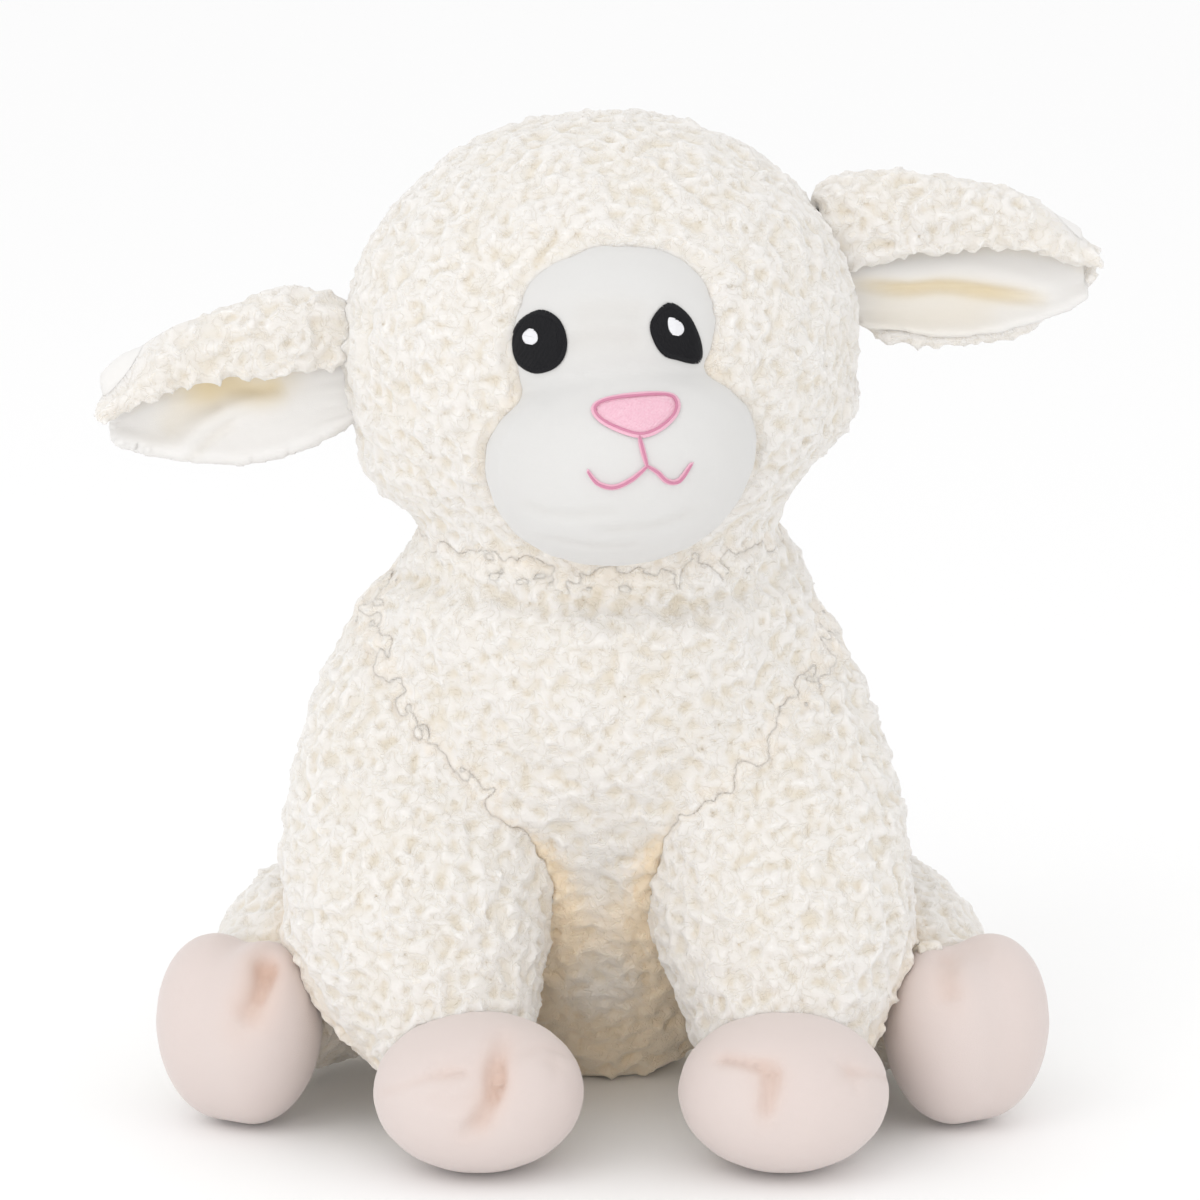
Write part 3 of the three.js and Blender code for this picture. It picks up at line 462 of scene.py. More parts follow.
def averaged(mesh, rows, rounds):
    """Averages rows of numbers, one row for each point of a mesh, over the points' neighbours."""
    edges = np.empty(len(mesh.edges) * 2, dtype=int)
    mesh.edges.foreach_get("vertices", edges)
    first, second = edges[::2], edges[1::2]
    count = len(mesh.vertices)
    links = np.bincount(first, minlength=count) + np.bincount(second, minlength=count)
    rows = rows.copy()
    for _ in range(rounds):
        for column in rows.T:
            total = np.bincount(first, column[second], count) + np.bincount(second, column[first], count)
            column[:] = total / links
    return rows


def give(mesh, name, values):
    """Stores a number at each vertex of a mesh."""
    layer = mesh.attributes.get(name) or mesh.attributes.new(name, "FLOAT", "POINT")
    layer.data.foreach_set("value", np.asarray(values, dtype=np.float32))


def taken(mesh, name):
    """Reads a number stored at each vertex."""
    values = np.empty(len(mesh.vertices), dtype=np.float32)
    mesh.attributes[name].data.foreach_get("value", values)
    return values


SKIN_VOXEL = 2.6 * MM
SKIN_ROUNDS = 4
FINE_VOXEL = 1.5 * MM
FACE_ROUNDS = 8
NECK_ROUNDS = 2
LEGS = ("right_foreleg", "left_foreleg", "right_hind_leg", "left_hind_leg")
LEG_NODES = {leg: [f"{leg}_cover", f"{leg}_filling"] for leg in LEGS}
BODY_NODES = ("body_chest_panel", "body_back_panel", "body_filling", "body_seat_panel", "bead_pouch")
head_form = skin("head_form", ["head_cover", "head_filling"], SKIN_VOXEL, SKIN_ROUNDS)
face_form = skin("face_form", ["face_panel", "head_filling"], FINE_VOXEL, FACE_ROUNDS)
body_form = skin("body_form", BODY_NODES, SKIN_VOXEL, SKIN_ROUNDS)
neck_form = skin("neck_form", ["neck_band"], FINE_VOXEL, NECK_ROUNDS)
leg_forms = {}
for leg, nodes in LEG_NODES.items():
    leg_forms[leg] = skin(f"{leg}_form", nodes, SKIN_VOXEL, SKIN_ROUNDS)
for mesh in (head_form, face_form, body_form, neck_form):
    print(mesh.name, "has", len(mesh.vertices), "points")

# %% [markdown]
# ## Closing the valleys
#
# On the toy, the pile of a shoulder meets the pile of the body and hides the seam between them.
# The solids must stay apart to move, so they leave a dark valley there. The cure is a closing: the
# joint skin of the neighbours is blown up and let down again, which fills every narrow valley.
# Each form's points in a valley are then lifted towards that filled surface and slid along it,
# past the crack, so that the two skins overlap.

# %% Lift the points in the valleys
CLOSING_VOXEL = 3 * MM
CLOSING_ROUNDS = 4
DEEPEST = 13 * MM
FADE_START = 0.7


def closed_skin(name, nodes, reach, voxel=CLOSING_VOXEL):
    """The skin of several solids with every valley narrower than twice `reach` filled."""
    mesh = skin(name, nodes, voxel, 2)
    for way in (1, -1):
        move_points(mesh, points_of(mesh) + normals_of(mesh) * way * reach)
        mesh = melted(placed(name, mesh), voxel, CLOSING_ROUNDS)
    return mesh


def lift_to(mesh, filled, share, deepest=DEEPEST, overlap=0.0):
    """Lifts a form's points in a filled valley by a share of the way, and slides them past its crack."""
    tree = tree_of(filled)
    points = points_of(mesh)
    normals = normals_of(mesh)
    shares = share(points) if callable(share) else np.full(len(points), share)
    for i, point in enumerate(points):
        near, normal, _, gap = tree.find_nearest(point)
        if (Vector(point) - near).dot(normal) < 0:
            fading = float(1 - ramp(gap, deepest * FADE_START, deepest))
            points[i] += (np.array(near) - point) * shares[i] * fading
            outwards = np.array(normal)
            across = normals[i] - outwards * (normals[i] @ outwards)
            points[i] += across * overlap * shares[i] * fading
    move_points(mesh, points)


BELLY_SHARE = 0.3
SHOULDER_HEIGHT = (78 * MM, 102 * MM)
SHOULDER_REACH = 11 * MM
SHOULDER_OVERLAP = 4 * MM
LIMB_NODES = [node for nodes in LEG_NODES.values() for node in nodes]


def shoulder_share(points):
    """Full at the shoulders, less beside the belly, where the leg's seam shows."""
    return BELLY_SHARE + (1 - BELLY_SHARE) * ramp(points[:, 2], *SHOULDER_HEIGHT)


filled_body = closed_skin("filled_body", [*BODY_NODES, *LIMB_NODES], SHOULDER_REACH)
for form in (body_form, *leg_forms.values()):
    lift_to(form, filled_body, shoulder_share, overlap=SHOULDER_OVERLAP)
print("filled skin of body and legs:", len(filled_body.vertices), "points")

# %% [markdown]
# The head's own pile hangs over the neck band like a short skirt, and gathers under the chin. So
# the head's points slide further, and the band is drawn in a little to make room for them.

# %% Close the neck
NECK_REACH = 6 * MM
CHEST_SHARE = 0.25
CHEST_DEEPEST = 6 * MM
CHEST_OVERLAP = 2 * MM
THROAT_HEIGHT = (165 * MM, 180 * MM)
THROAT_DEEPEST = 10 * MM
HEAD_SKIRT = 9 * MM
BAND_DRAWN_IN = 1.5 * MM
NECK_NODES = ("head_cover", "head_filling", "neck_band")


def throat_share(points):
    """Full at the throat, none from the mouth upwards."""
    return 1 - ramp(points[:, 2], *THROAT_HEIGHT)


filled_neck = closed_skin("filled_neck", [*BODY_NODES, *NECK_NODES], NECK_REACH)
lift_to(body_form, filled_neck, CHEST_SHARE, CHEST_DEEPEST, CHEST_OVERLAP)
lift_to(head_form, filled_neck, throat_share, THROAT_DEEPEST, HEAD_SKIRT)
move_points(neck_form, points_of(neck_form) - normals_of(neck_form) * BAND_DRAWN_IN)
print("filled skin of the neck:", len(filled_neck.vertices), "points")

# %% [markdown]
# ## Dents, creases and puckers
#
# A seam pulls the filled cloth in along a line, and a tuck pulls it in at a point, with small
# folds that run out from it. `crease` and `dimple` press a form in that way, and can paint shade
# into the pressed place. The lines are named pixels of the photograph, and a ray through each
# pixel finds its place on the form.


# %% Press the forms
def seen(pixel, *trees):
    """Where the ray through a pixel first meets one of the surfaces, or else passes nearest to one."""
    start, way = pixel_ray(*pixel)
    hits = [tree.ray_cast(start, way) for tree in trees]
    hits = [hit for hit in hits if hit[0] is not None]
    if not hits:
        beside = start + way * (AIM - start).dot(way)
        hits = [tree.find_nearest(beside) for tree in trees]
    near = min(hits, key=lambda hit: hit[3])
    return near[0], near[1]


def smooth_path(points, count, closed=False):
    """Points at even steps on a smooth curve through a few points of the picture."""
    knots = [Vector(p) for p in points]
    total = len(knots) if closed else len(knots) - 1
    path = []
    for step in range(count):
        t = step / (count if closed else count - 1) * total
        i = min(int(t), total - 1)
        t -= i

        def knot(k):
            return knots[k % len(knots)] if closed else knots[min(max(k, 0), len(knots) - 1)]

        a, b, c, d = (knot(i + k) for k in (-1, 0, 1, 2))
        square = (2 * a - 5 * b + 4 * c - d) * t ** 2
        cube = (3 * b - a - 3 * c + d) * t ** 3
        path.append(0.5 * (2 * b + (c - a) * t + square + cube))
    return path


TINY = 1e-12


def distance_to_line(points, line):
    """How far each point lies from a line of several stretches, and how far along it, from 0 to 1."""
    best = np.full(len(points), np.inf)
    along = np.zeros(len(points))
    for i, (start, end) in enumerate(zip(line, line[1:])):
        start, way = np.array(start), np.array(end) - np.array(start)
        t = np.clip((points - start) @ way / max(way @ way, TINY), 0, 1)
        gap = np.linalg.norm(points - start - t[:, None] * way, axis=1)
        closer = gap < best
        best[closer] = gap[closer]
        along[closer] = (i + t[closer]) / (len(line) - 1)
    return best, along


def press(mesh, amount):
    """Moves each point of a form inwards by an amount of its own."""
    move_points(mesh, points_of(mesh) - normals_of(mesh) * amount[:, None])


CREASE_STEPS = 12
CREASE_END = 0.35
PAINTED_SHADE_SPREAD = 1.6


def crease(mesh, pixels, width, depth, painted_shade_amount=0.0):
    """Presses a tapered crease along a line of pixels, and paints shade into it by lowering `depth`."""
    tree = tree_of(mesh)
    line = [seen(pixel, tree)[0] for pixel in smooth_path(pixels, CREASE_STEPS)]
    gap, along = distance_to_line(points_of(mesh), line)
    taper = np.clip(4 * along * (1 - along) + CREASE_END, 0, 1)
    press(mesh, depth * taper * np.exp(-((gap / width) ** 2)))
    paint_shade(mesh, painted_shade_amount * taper * np.exp(-((gap / (PAINTED_SHADE_SPREAD * width)) ** 2)))


FOLD_PLACE = 0.6
FOLD_WIDTH = 0.35
FOLD_SHARE = 0.22


def dimple(mesh, pixel, radius, depth, folds=0, painted_shade_amount=0.0):
    """Presses a round dimple, with folds that run out from it, at a pixel, and paints shade into its
    middle.
    """
    place, normal = seen(pixel, tree_of(mesh))
    offset = points_of(mesh) - np.array(place)
    gap = np.linalg.norm(offset, axis=1)
    across = np.array(normal.orthogonal().normalized())
    upwards = np.cross(np.array(normal), across)
    angle = np.arctan2(offset @ upwards, offset @ across)
    hill = np.exp(-((gap / (0.5 * radius)) ** 2))
    ring = np.exp(-(((gap - FOLD_PLACE * radius) / (FOLD_WIDTH * radius)) ** 2))
    wave = np.cos(folds * angle + gap / radius * 2) * (folds > 0)
    press(mesh, depth * (hill + FOLD_SHARE * ring * wave))
    paint_shade(mesh, painted_shade_amount * hill)


def paint_shade(mesh, amount):
    """Lowers the stored `depth`, which the materials read as painted shade."""
    before = taken(mesh, "depth") if "depth" in mesh.attributes else np.ones(len(mesh.vertices))
    give(mesh, "depth", np.clip(before - amount, 0, 1))


# %% [markdown]
# The muzzle's filling has sunk a little, so its low front part sags. A soft fold crosses the
# bridge of the nose, finer ones run under the mouth, and a short seam gathers the chin.

# %% Press head, neck and face
MUZZLE_SAG = 3 * MM
SAG_HEIGHT = (6 * MM, 32 * MM)
SAG_REACH = (22 * MM, 42 * MM)
CHEEK = ((526, 388), 13 * MM, 3.5 * MM)
BRIDGE_CREASES = (
    ((570, 313), (612, 310), (650, 314)),
    ((560, 348), (600, 340), (646, 342)),
)
MUZZLE_CREASES = (
    ((520, 505), (560, 516), (620, 512)),
    ((600, 532), (650, 528), (700, 512)),
    ((540, 538), (600, 548), (640, 546)),
)
CHIN_SEAM = ((601, 566), (600, 582), (602, 600))
NECK_GROOVE = ((385, 566), (480, 592), (600, 604), (720, 598), (790, 566))
for form in (head_form, neck_form):
    crease(form, CHIN_SEAM, width=2.2 * MM, depth=2.2 * MM)
crease(body_form, NECK_GROOVE, width=4.5 * MM, depth=4.5 * MM)
dimple(head_form, *CHEEK)
face_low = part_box("face_panel")[0]
points = points_of(face_form)
sagging = ramp(-points[:, 2], -(face_low[2] + SAG_HEIGHT[1]), -(face_low[2] + SAG_HEIGHT[0]))
sagging *= ramp(-points[:, 1], -(face_low[1] + SAG_REACH[1]), -(face_low[1] + SAG_REACH[0]))
points[:, 2] -= MUZZLE_SAG * sagging
move_points(face_form, points)
# The folds on the face are pressed in and get painted shade.
for line in BRIDGE_CREASES:
    crease(face_form, line, width=2.6 * MM, depth=1.0 * MM, painted_shade_amount=0.2)
for line in MUZZLE_CREASES:
    crease(face_form, line, width=1.4 * MM, depth=0.6 * MM, painted_shade_amount=0.12)
print("face from", round(points[:, 2].min(), 4), "to", round(points[:, 2].max(), 4), "m high")

# %% [markdown]
# ## How enclosed a place is
# Between the legs and under the chin, light reaches the pile only after many bounces, and each
# bounce takes a little blue away; that warm shade is painted into the pile's colour. A few rays
# sent out from each point of a form find how enclosed it is. The share is stored twice: as
# `enclosure`, clipped and spread over the neighbours, and as `crack`, which keeps only the narrow
# places. The pile's material reads both later, as painted warm shade.

# %% Send rays from each form
RAYS = 14
RAY_REACH = 60 * MM
RAY_LIFT = 2 * MM
SPREAD_ROUNDS = 16
CRACK_RANGE = (0.5, 0.9)
FLOOR_SHARE = 0.8
MOST_ENCLOSED = 0.45


def ray_fan(count):
    """Directions spread evenly over a dome round +Z."""
    golden = math.pi * (3 - math.sqrt(5))
    fan = []
    for i in range(count):
        rise = math.sqrt(1 - (i + 0.5) / count)
        flat = math.sqrt(1 - rise * rise)
        fan.append(Vector((flat * math.cos(golden * i), flat * math.sin(golden * i), rise)))
    return fan


def store_enclosure(form, all_trees):
    """Stores at each point the share of its rays that soon meet a form or the floor."""
    fan = ray_fan(RAYS)
    normals = normals_of(form)
    result = np.zeros(len(form.vertices))
    for i, vertex in enumerate(form.vertices):
        normal = Vector(normals[i])
        turn = normal.to_track_quat("Z", "Y")
        start = vertex.co + normal * RAY_LIFT
        for way in fan:
            direction = turn @ way
            gaps = [tree.ray_cast(start, direction, RAY_REACH)[3] for tree in all_trees]
            gaps = [gap for gap in gaps if gap is not None]
            if gaps:
                result[i] += (1 - min(gaps) / RAY_REACH) / RAYS
            elif start.z + direction.z * RAY_REACH < 0:
                result[i] += FLOOR_SHARE * (1 + start.z / direction.z / RAY_REACH) / RAYS
    give(form, "crack", ramp(result, *CRACK_RANGE))
    result = np.minimum(result, MOST_ENCLOSED)
    give(form, "enclosure", averaged(form, result[:, None], SPREAD_ROUNDS)[:, 0])


def one_tree(meshes):
    """One search tree over several meshes."""
    points, faces = [], []
    for mesh in meshes:
        first = len(points)
        points += [v.co.copy() for v in mesh.vertices]
        faces += [[first + i for i in p.vertices] for p in mesh.polygons]
    return BVHTree.FromPolygons(points, faces)


pile_forms = (head_form, body_form, *leg_forms.values())
whole_tree = one_tree((*pile_forms, face_form))
for form in pile_forms:
    store_enclosure(form, [whole_tree])
    print("enclosure of", form.name, np.round(np.percentile(taken(form, "enclosure"), (5, 50, 95)), 2))

# %% [markdown]
# ## The curls
#
# Curly pile is fleece whose fibres clump into short locks, and the locks crowd into lumps about
# as wide as a fingertip. Both are geometry here. A Geometry Nodes tree first pushes the skin out
# in slow folds, lumps and finer ripples, and then scatters small curved locks over it. Four kinds
# of lock, each of a few dozen faces, are enough: size, spin and tilt are random, with a fixed seed.

# %% Model four locks
LOCK_SIDES = 5
LOCK_RINGS = 5
LOCK_KINDS = (
    (8.5 * MM, 2.4 * MM, 1.1 * MM, 1.0 * MM, 3.6),
    (7.0 * MM, 2.8 * MM, 1.0 * MM, -1.2 * MM, 4.4),
    (9.5 * MM, 2.2 * MM, 1.2 * MM, 1.5 * MM, 5.4),
    (6.0 * MM, 3.0 * MM, 1.0 * MM, 0.6 * MM, 2.4),
)


def lock_mesh(name, length, thickness, arch, bend, twist):
    """A bent, tapered lock that rises out of the pile and goes back into it."""
    sides, rings = LOCK_SIDES, LOCK_RINGS
    work = bmesh.new()

    def middle(t):
        angle = (t - 0.5) * twist
        x = (t - 0.5) * length
        return Vector((x, math.sin(angle) * bend, arch * (1 - (2 * t - 1) ** 2)))

    loops = []
    for ring in range(1, rings + 1):
        t = ring / (rings + 1)
        radius = thickness / 2 * (1 - (2 * t - 1) ** 4) ** 0.5
        along = (middle(t + 0.01) - middle(t - 0.01)).normalized()
        aside = along.cross(Vector((0, 0, 1))).normalized()
        up = aside.cross(along)
        loop = []
        for side in range(sides):
            angle = 2 * math.pi * (side + 0.5 * (ring % 2)) / sides
            rim = aside * math.cos(angle) * radius + up * math.sin(angle) * radius
            loop.append(work.verts.new(middle(t) + rim))
        loops.append(loop)
    for lower, upper in zip(loops, loops[1:]):
        for i in range(sides):
            work.faces.new((lower[i], lower[(i + 1) % sides], upper[(i + 1) % sides], upper[i]))
    for loop, t in ((loops[0], 0.0), (loops[-1], 1.0)):
        tip = work.verts.new(middle(t))
        for i in range(sides):
            work.faces.new((loop[i], loop[(i + 1) % sides], tip))
    bmesh.ops.recalc_face_normals(work, faces=work.faces)
    mesh = bpy.data.meshes.new(name)
    work.to_mesh(mesh)
    work.free()
    return mesh


locks = bpy.data.collections.new("locks")
for kind, (length, thickness, arch, bend, twist) in enumerate(LOCK_KINDS):
    mesh = lock_mesh(f"lock_{kind}", length, thickness, arch, bend, twist)
    locks.objects.link(bpy.data.objects.new(mesh.name, mesh))

# %% [markdown]
# The tree below has named inputs for the size of the lumps, the spacing of the locks and so on,
# so that one tree dresses every form. Neighbouring locks lie roughly alike, along a slow swirl, so
# the pile looks combed by handling and not sown at random. The seed also shifts the noise, so that
# two piles that meet differ, and their lumps interleave. A second tree comes later, for threads.
# Both have a cloth among their inputs, and both end by making instances real.

# %% Build the pile tree
PILE = {
    "Fold Size": 24 * MM,
    "Fold Height": 2.4 * MM,
    "Lump Size": 7.5 * MM,
    "Lump Height": 1.3 * MM,
    "Ripple Size": 4.5 * MM,
    "Ripple Height": 0.4 * MM,
    "Recess": 1.0 * MM,
    "Lock Spacing": 2.7 * MM,
    "Lock Scale": 0.75,
    "Swirl Size": 22 * MM,
}
SEED_SHIFT = (0.1, 0.07, 0.13)
WARP_SIZE = 1.4
WARP_REACH = 2.2
LUMP_ROUNDNESS = 1.3
LOCK_DENSITY = 1.6
LOCK_SIZES = (0.7, 1.25)
LOCK_TURNS = (0.25, 0.25, 0.7)


def empty_tree(name, inputs):
    """A Geometry Nodes tree with named inputs, each with its kind; gives it and its entry."""
    tree = bpy.data.node_groups.new(name, "GeometryNodeTree")
    for label, kind in {"Geometry": "Geometry", **inputs, "Cloth": "Material"}.items():
        tree.interface.new_socket(label, in_out="INPUT", socket_type=f"NodeSocket{kind}")
    tree.interface.new_socket("Geometry", in_out="OUTPUT", socket_type="NodeSocketGeometry")
    return tree, add(tree, "NodeGroupInput")


def end_tree(tree, entry, geometry):
    """Makes instances real, gives the whole its cloth, and leads it out of a tree."""
    real = add(tree, "GeometryNodeRealizeInstances", {"Geometry": geometry})
    dressed = add(tree, "GeometryNodeSetMaterial", {
        "Geometry": real.outputs[0],
        "Material": entry.outputs["Cloth"],
    })
    leave = add(tree, "NodeGroupOutput")
    tree.links.new(dressed.outputs[0], leave.inputs[0])


def pile_tree():
    """A Geometry Nodes tree: a skin in, a skin with lumps and locks out."""
    sizes = dict.fromkeys(PILE, "Float")
    tree, entry = empty_tree("pile_tree", {**sizes, "Seed": "Int", "Locks": "Collection"})

    def maths(operation, *values, clamp=False):
        node = add(tree, "ShaderNodeMath", dict(enumerate(values)), operation=operation, use_clamp=clamp)
        return node.outputs[0]

    def vector(operation, first, second=None, scale=None):
        inputs = {0: first}
        if second is not None:
            inputs[1] = second
        if scale is not None:
            inputs["Scale"] = scale
        return add(tree, "ShaderNodeVectorMath", inputs, operation=operation).outputs[0]

    def noise_at(place, size, detail, distortion=0.0):
        return add(tree, "ShaderNodeTexNoise", {
            "Vector": place,
            "Scale": maths("DIVIDE", 1.0, size),
            "Detail": detail,
            "Distortion": distortion,
        })

    share = add(
        tree, "GeometryNodeInputNamedAttribute", {"Name": "pile_share"}, data_type="FLOAT"
    ).outputs["Attribute"]
    position = add(tree, "GeometryNodeInputPosition").outputs["Position"]
    away = vector("SCALE", SEED_SHIFT, scale=entry.outputs["Seed"])
    place = vector("ADD", position, away)
    lump_size = entry.outputs["Lump Size"]
    wander = noise_at(place, maths("MULTIPLY", lump_size, WARP_SIZE), 2.0)
    centred = vector("SUBTRACT", wander.outputs["Color"], (0.5, 0.5, 0.5))
    warp = vector("SCALE", centred, scale=maths("MULTIPLY", lump_size, WARP_REACH))
    warped = vector("ADD", place, warp)
    cells = add(tree, "ShaderNodeTexVoronoi", {
        "Vector": warped,
        "Scale": maths("DIVIDE", 1.0, lump_size),
    }, feature="F1")
    outwards = maths("MULTIPLY", cells.outputs["Distance"], LUMP_ROUNDNESS)
    lump = maths("SUBTRACT", 1.0, maths("MULTIPLY", outwards, outwards), clamp=True)
    ripples = noise_at(warped, entry.outputs["Ripple Size"], 2.0, 0.8)
    folded = maths("ABSOLUTE", maths("MULTIPLY_ADD", ripples.outputs["Fac"], 4.0, -2.0))
    ripple = maths("SUBTRACT", 1.0, folded, clamp=True)
    slow = noise_at(place, entry.outputs["Fold Size"], 1.0, 0.6)
    fold = maths("SUBTRACT", slow.outputs["Fac"], 0.5)
    height = maths(
        "ADD",
        maths("MULTIPLY", lump, entry.outputs["Lump Height"]),
        maths("MULTIPLY", ripple, entry.outputs["Ripple Height"]),
    )
    height = maths("ADD", height, maths("MULTIPLY", fold, entry.outputs["Fold Height"]))
    lift = maths("MULTIPLY", maths("SUBTRACT", height, entry.outputs["Recess"]), share)
    finer = add(tree, "GeometryNodeSubdivisionSurface", {
        "Mesh": entry.outputs["Geometry"],
        "Level": 1,
    })
    normal = add(tree, "GeometryNodeInputNormal").outputs[0]
    pushed = add(tree, "GeometryNodeSetPosition", {
        "Geometry": finer.outputs[0],
        "Offset": vector("SCALE", normal, scale=lift),
    })

    spacing = entry.outputs["Lock Spacing"]
    scatter = add(tree, "GeometryNodeDistributePointsOnFaces", {
        "Mesh": pushed.outputs[0],
        "Distance Min": spacing,
        "Density Max": maths("DIVIDE", LOCK_DENSITY, maths("MULTIPLY", spacing, spacing)),
        "Density Factor": share,
        "Seed": entry.outputs["Seed"],
    }, distribute_method="POISSON")
    swirl = noise_at(place, entry.outputs["Swirl Size"], 1.0)
    centred_swirl = vector("SUBTRACT", swirl.outputs["Color"], (0.5, 0.5, 0.5))
    combed = vector("CROSS_PRODUCT", scatter.outputs["Normal"], centred_swirl)
    lying = add(tree, "FunctionNodeAxesToRotation", {0: scatter.outputs["Normal"], 1: combed},
                primary_axis="Z", secondary_axis="X")
    spin = add(tree, "FunctionNodeRandomValue", {
        "Min": tuple(-turn for turn in LOCK_TURNS),
        "Max": LOCK_TURNS,
        "Seed": entry.outputs["Seed"],
    }, data_type="FLOAT_VECTOR")
    euler = add(tree, "FunctionNodeEulerToRotation", {"Euler": spin.outputs["Value"]})
    turned = add(tree, "FunctionNodeRotateRotation", {
        "Rotation": lying.outputs[0],
        "Rotate By": euler.outputs[0],
    }, rotation_space="LOCAL")
    size = add(tree, "FunctionNodeRandomValue", {"Seed": entry.outputs["Seed"]}, data_type="FLOAT")
    for socket, value in zip([s for s in size.inputs if s.enabled], LOCK_SIZES):
        socket.default_value = value
    size_socket = [s for s in size.outputs if s.enabled][0]
    stock = add(tree, "GeometryNodeCollectionInfo", {
        "Collection": entry.outputs["Locks"],
        "Separate Children": True,
        "Reset Children": True,
    })
    planted = add(tree, "GeometryNodeInstanceOnPoints", {
        "Points": scatter.outputs["Points"],
        "Instance": stock.outputs[0],
        "Pick Instance": True,
        "Rotation": turned.outputs[0],
        "Scale": maths("MULTIPLY", size_socket, entry.outputs["Lock Scale"]),
    })
    both = add(tree, "GeometryNodeJoinGeometry")
    tree.links.new(planted.outputs[0], both.inputs[0])
    tree.links.new(pushed.outputs[0], both.inputs[0])
    end_tree(tree, entry, both.outputs[0])
    return tree


pile_nodes = pile_tree()
print("pile tree with", len(pile_nodes.nodes), "nodes")

# %% [markdown]
# The locks and the skin then melt into one surface: a voxel remesh finer than a lock joins them,
# and a little smoothing takes the steps away. `depth` then comes from two measures, how high a
# point stands above the skin and how far it stands out of the surface round it; the material paints
# shade deep in the pile by it. The painted warm shade comes from the rays: full low between the
# legs, where the real pile looks golden in its shade, and faint elsewhere, because a leg or a head
# that moves takes its painted tone along.


# %% Grow the pile
def set_inputs(modifier, values):
    """Sets a Geometry Nodes modifier's inputs by the identifiers of their sockets."""
    for item in modifier.node_group.interface.items_tree:
        if item.item_type == "SOCKET" and item.in_out == "INPUT" and item.name in values:
            modifier[item.identifier] = values[item.name]


MELT_VOXEL = 1.0 * MM
MELT_ROUNDS = 3
CAVITY_ROUNDS = 12
PILE_REACH = 3.2 * MM
CAVITY_RANGE = (-0.65 * MM, -0.05 * MM)
HEIGHT_SHARE = 0.35
CAVITY_SHARE = 0.65
ENCLOSURE_RANGE = (0.13, 0.34)
CRACK_WARM_SHADE = 0.35
WARM_SHADE_HALF_WIDTH = (32 * MM, 44 * MM)
WARM_SHADE_HEIGHT = (90 * MM, 115 * MM)
LEAST_WARM_SHADE = 0.25
MOST_WARM_SHADE = 0.6


def smooth_shaded(mesh, finish):
    """Gives a mesh its material and smooth shading."""
    mesh.materials.clear()
    mesh.materials.append(finish)
    mesh.polygons.foreach_set("use_smooth", [True] * len(mesh.polygons))


def cavity(mesh):
    """How far each point stands out of the surface round it, or lies under it (below 0)."""
    points = points_of(mesh)
    even = averaged(mesh, points, CAVITY_ROUNDS)
    return np.einsum("ij,ij->i", points - even, normals_of(mesh))


def grow_pile(name, form, seed, melt=MELT_VOXEL, warmth=LEAST_WARM_SHADE):
    """Dresses a skin in pile, with painted warm shade low in its enclosed middle, and gives the piece.
    """
    base = tree_of(form)
    faces = [list(p.vertices) for p in form.polygons]

    def on_faces(attribute):
        """The mean of a stored number on each face, or zeros where nothing is stored."""
        if attribute not in form.attributes:
            return np.zeros(len(faces))
        values = taken(form, attribute)
        return np.array([values[face].mean() for face in faces])

    enclosed = on_faces("enclosure")
    cracks = on_faces("crack")
    shares = on_faces("pile_share")
    obj = placed(name, form)
    modifier = obj.modifiers.new("pile", "NODES")
    modifier.node_group = pile_nodes
    set_inputs(modifier, {**PILE, "Seed": seed, "Locks": locks, "Cloth": pile_cloth})
    mesh = melted(obj, melt, MELT_ROUNDS)
    height, under = heights_over(mesh, base)
    above = ramp(height, -PILE["Recess"], PILE_REACH - PILE["Recess"])
    hollow = cavity(mesh)
    depth = HEIGHT_SHARE * above + CAVITY_SHARE * ramp(hollow, *CAVITY_RANGE)
    give(mesh, "depth", np.maximum(1 - shares[under], depth))
    # Painted warm shade: strongest low between the legs, where the pile is enclosed, and along narrow
    # cracks.
    between = 1 - ramp(np.abs(points_of(mesh)[:, 0]), *WARM_SHADE_HALF_WIDTH)
    between *= 1 - ramp(points_of(mesh)[:, 2], *WARM_SHADE_HEIGHT)
    warm_shade = LEAST_WARM_SHADE + (warmth - LEAST_WARM_SHADE) * between
    warm_shade *= ramp(enclosed[under], *ENCLOSURE_RANGE)
    warm_shade = np.minimum(np.maximum(warm_shade, CRACK_WARM_SHADE * cracks[under]), MOST_WARM_SHADE)
    give(mesh, "warmth", warm_shade)
    smooth_shaded(mesh, pile_cloth)
    low, middle, high = np.percentile(height, (2, 50, 98)) / MM
    triangles = sum(len(p.vertices) - 2 for p in mesh.polygons)
    print(f"{name}: {triangles} triangles, pile {low:.1f}, {middle:.1f}, {high:.1f} mm above the skin")
    return placed(name, mesh)


def sew(piece, body, nodes):
    """Hangs a padded piece on its body, and hides the solids that it stands for."""
    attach(piece, body)
    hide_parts(*nodes)


# %% [markdown]
# ## The head
#
# The pile and the velour face are two skins round the same filling. The pile skin runs on under
# the velour, and its pile thins out to nothing where it dips below, so the edge of the pile
# stands round the face like a soft rim. Round the eyes the pile is trimmed, as on the toy.

# %% Dress the head
EYES = {"right_eye": (540, 341), "left_eye": (676, 335)}
EYE_TRIM = 9.5 * MM
EYE_FADE = 2.5 * MM
EDGE_SIZE = 5 * MM
FACE_RAGGED = 0.9 * MM
FACE_EDGE = (0.2 * MM, 2.2 * MM)
FACE_TUCK = 5 * MM
TUCK_RANGE = (1 * MM, 4 * MM)
HEAD_VOXEL = 1.06 * MM


def ragged(points, size, amount):
    """A slow random number for each point, the same each time."""
    return amount * np.array([noise.noise(Vector(p) / size) for p in points])


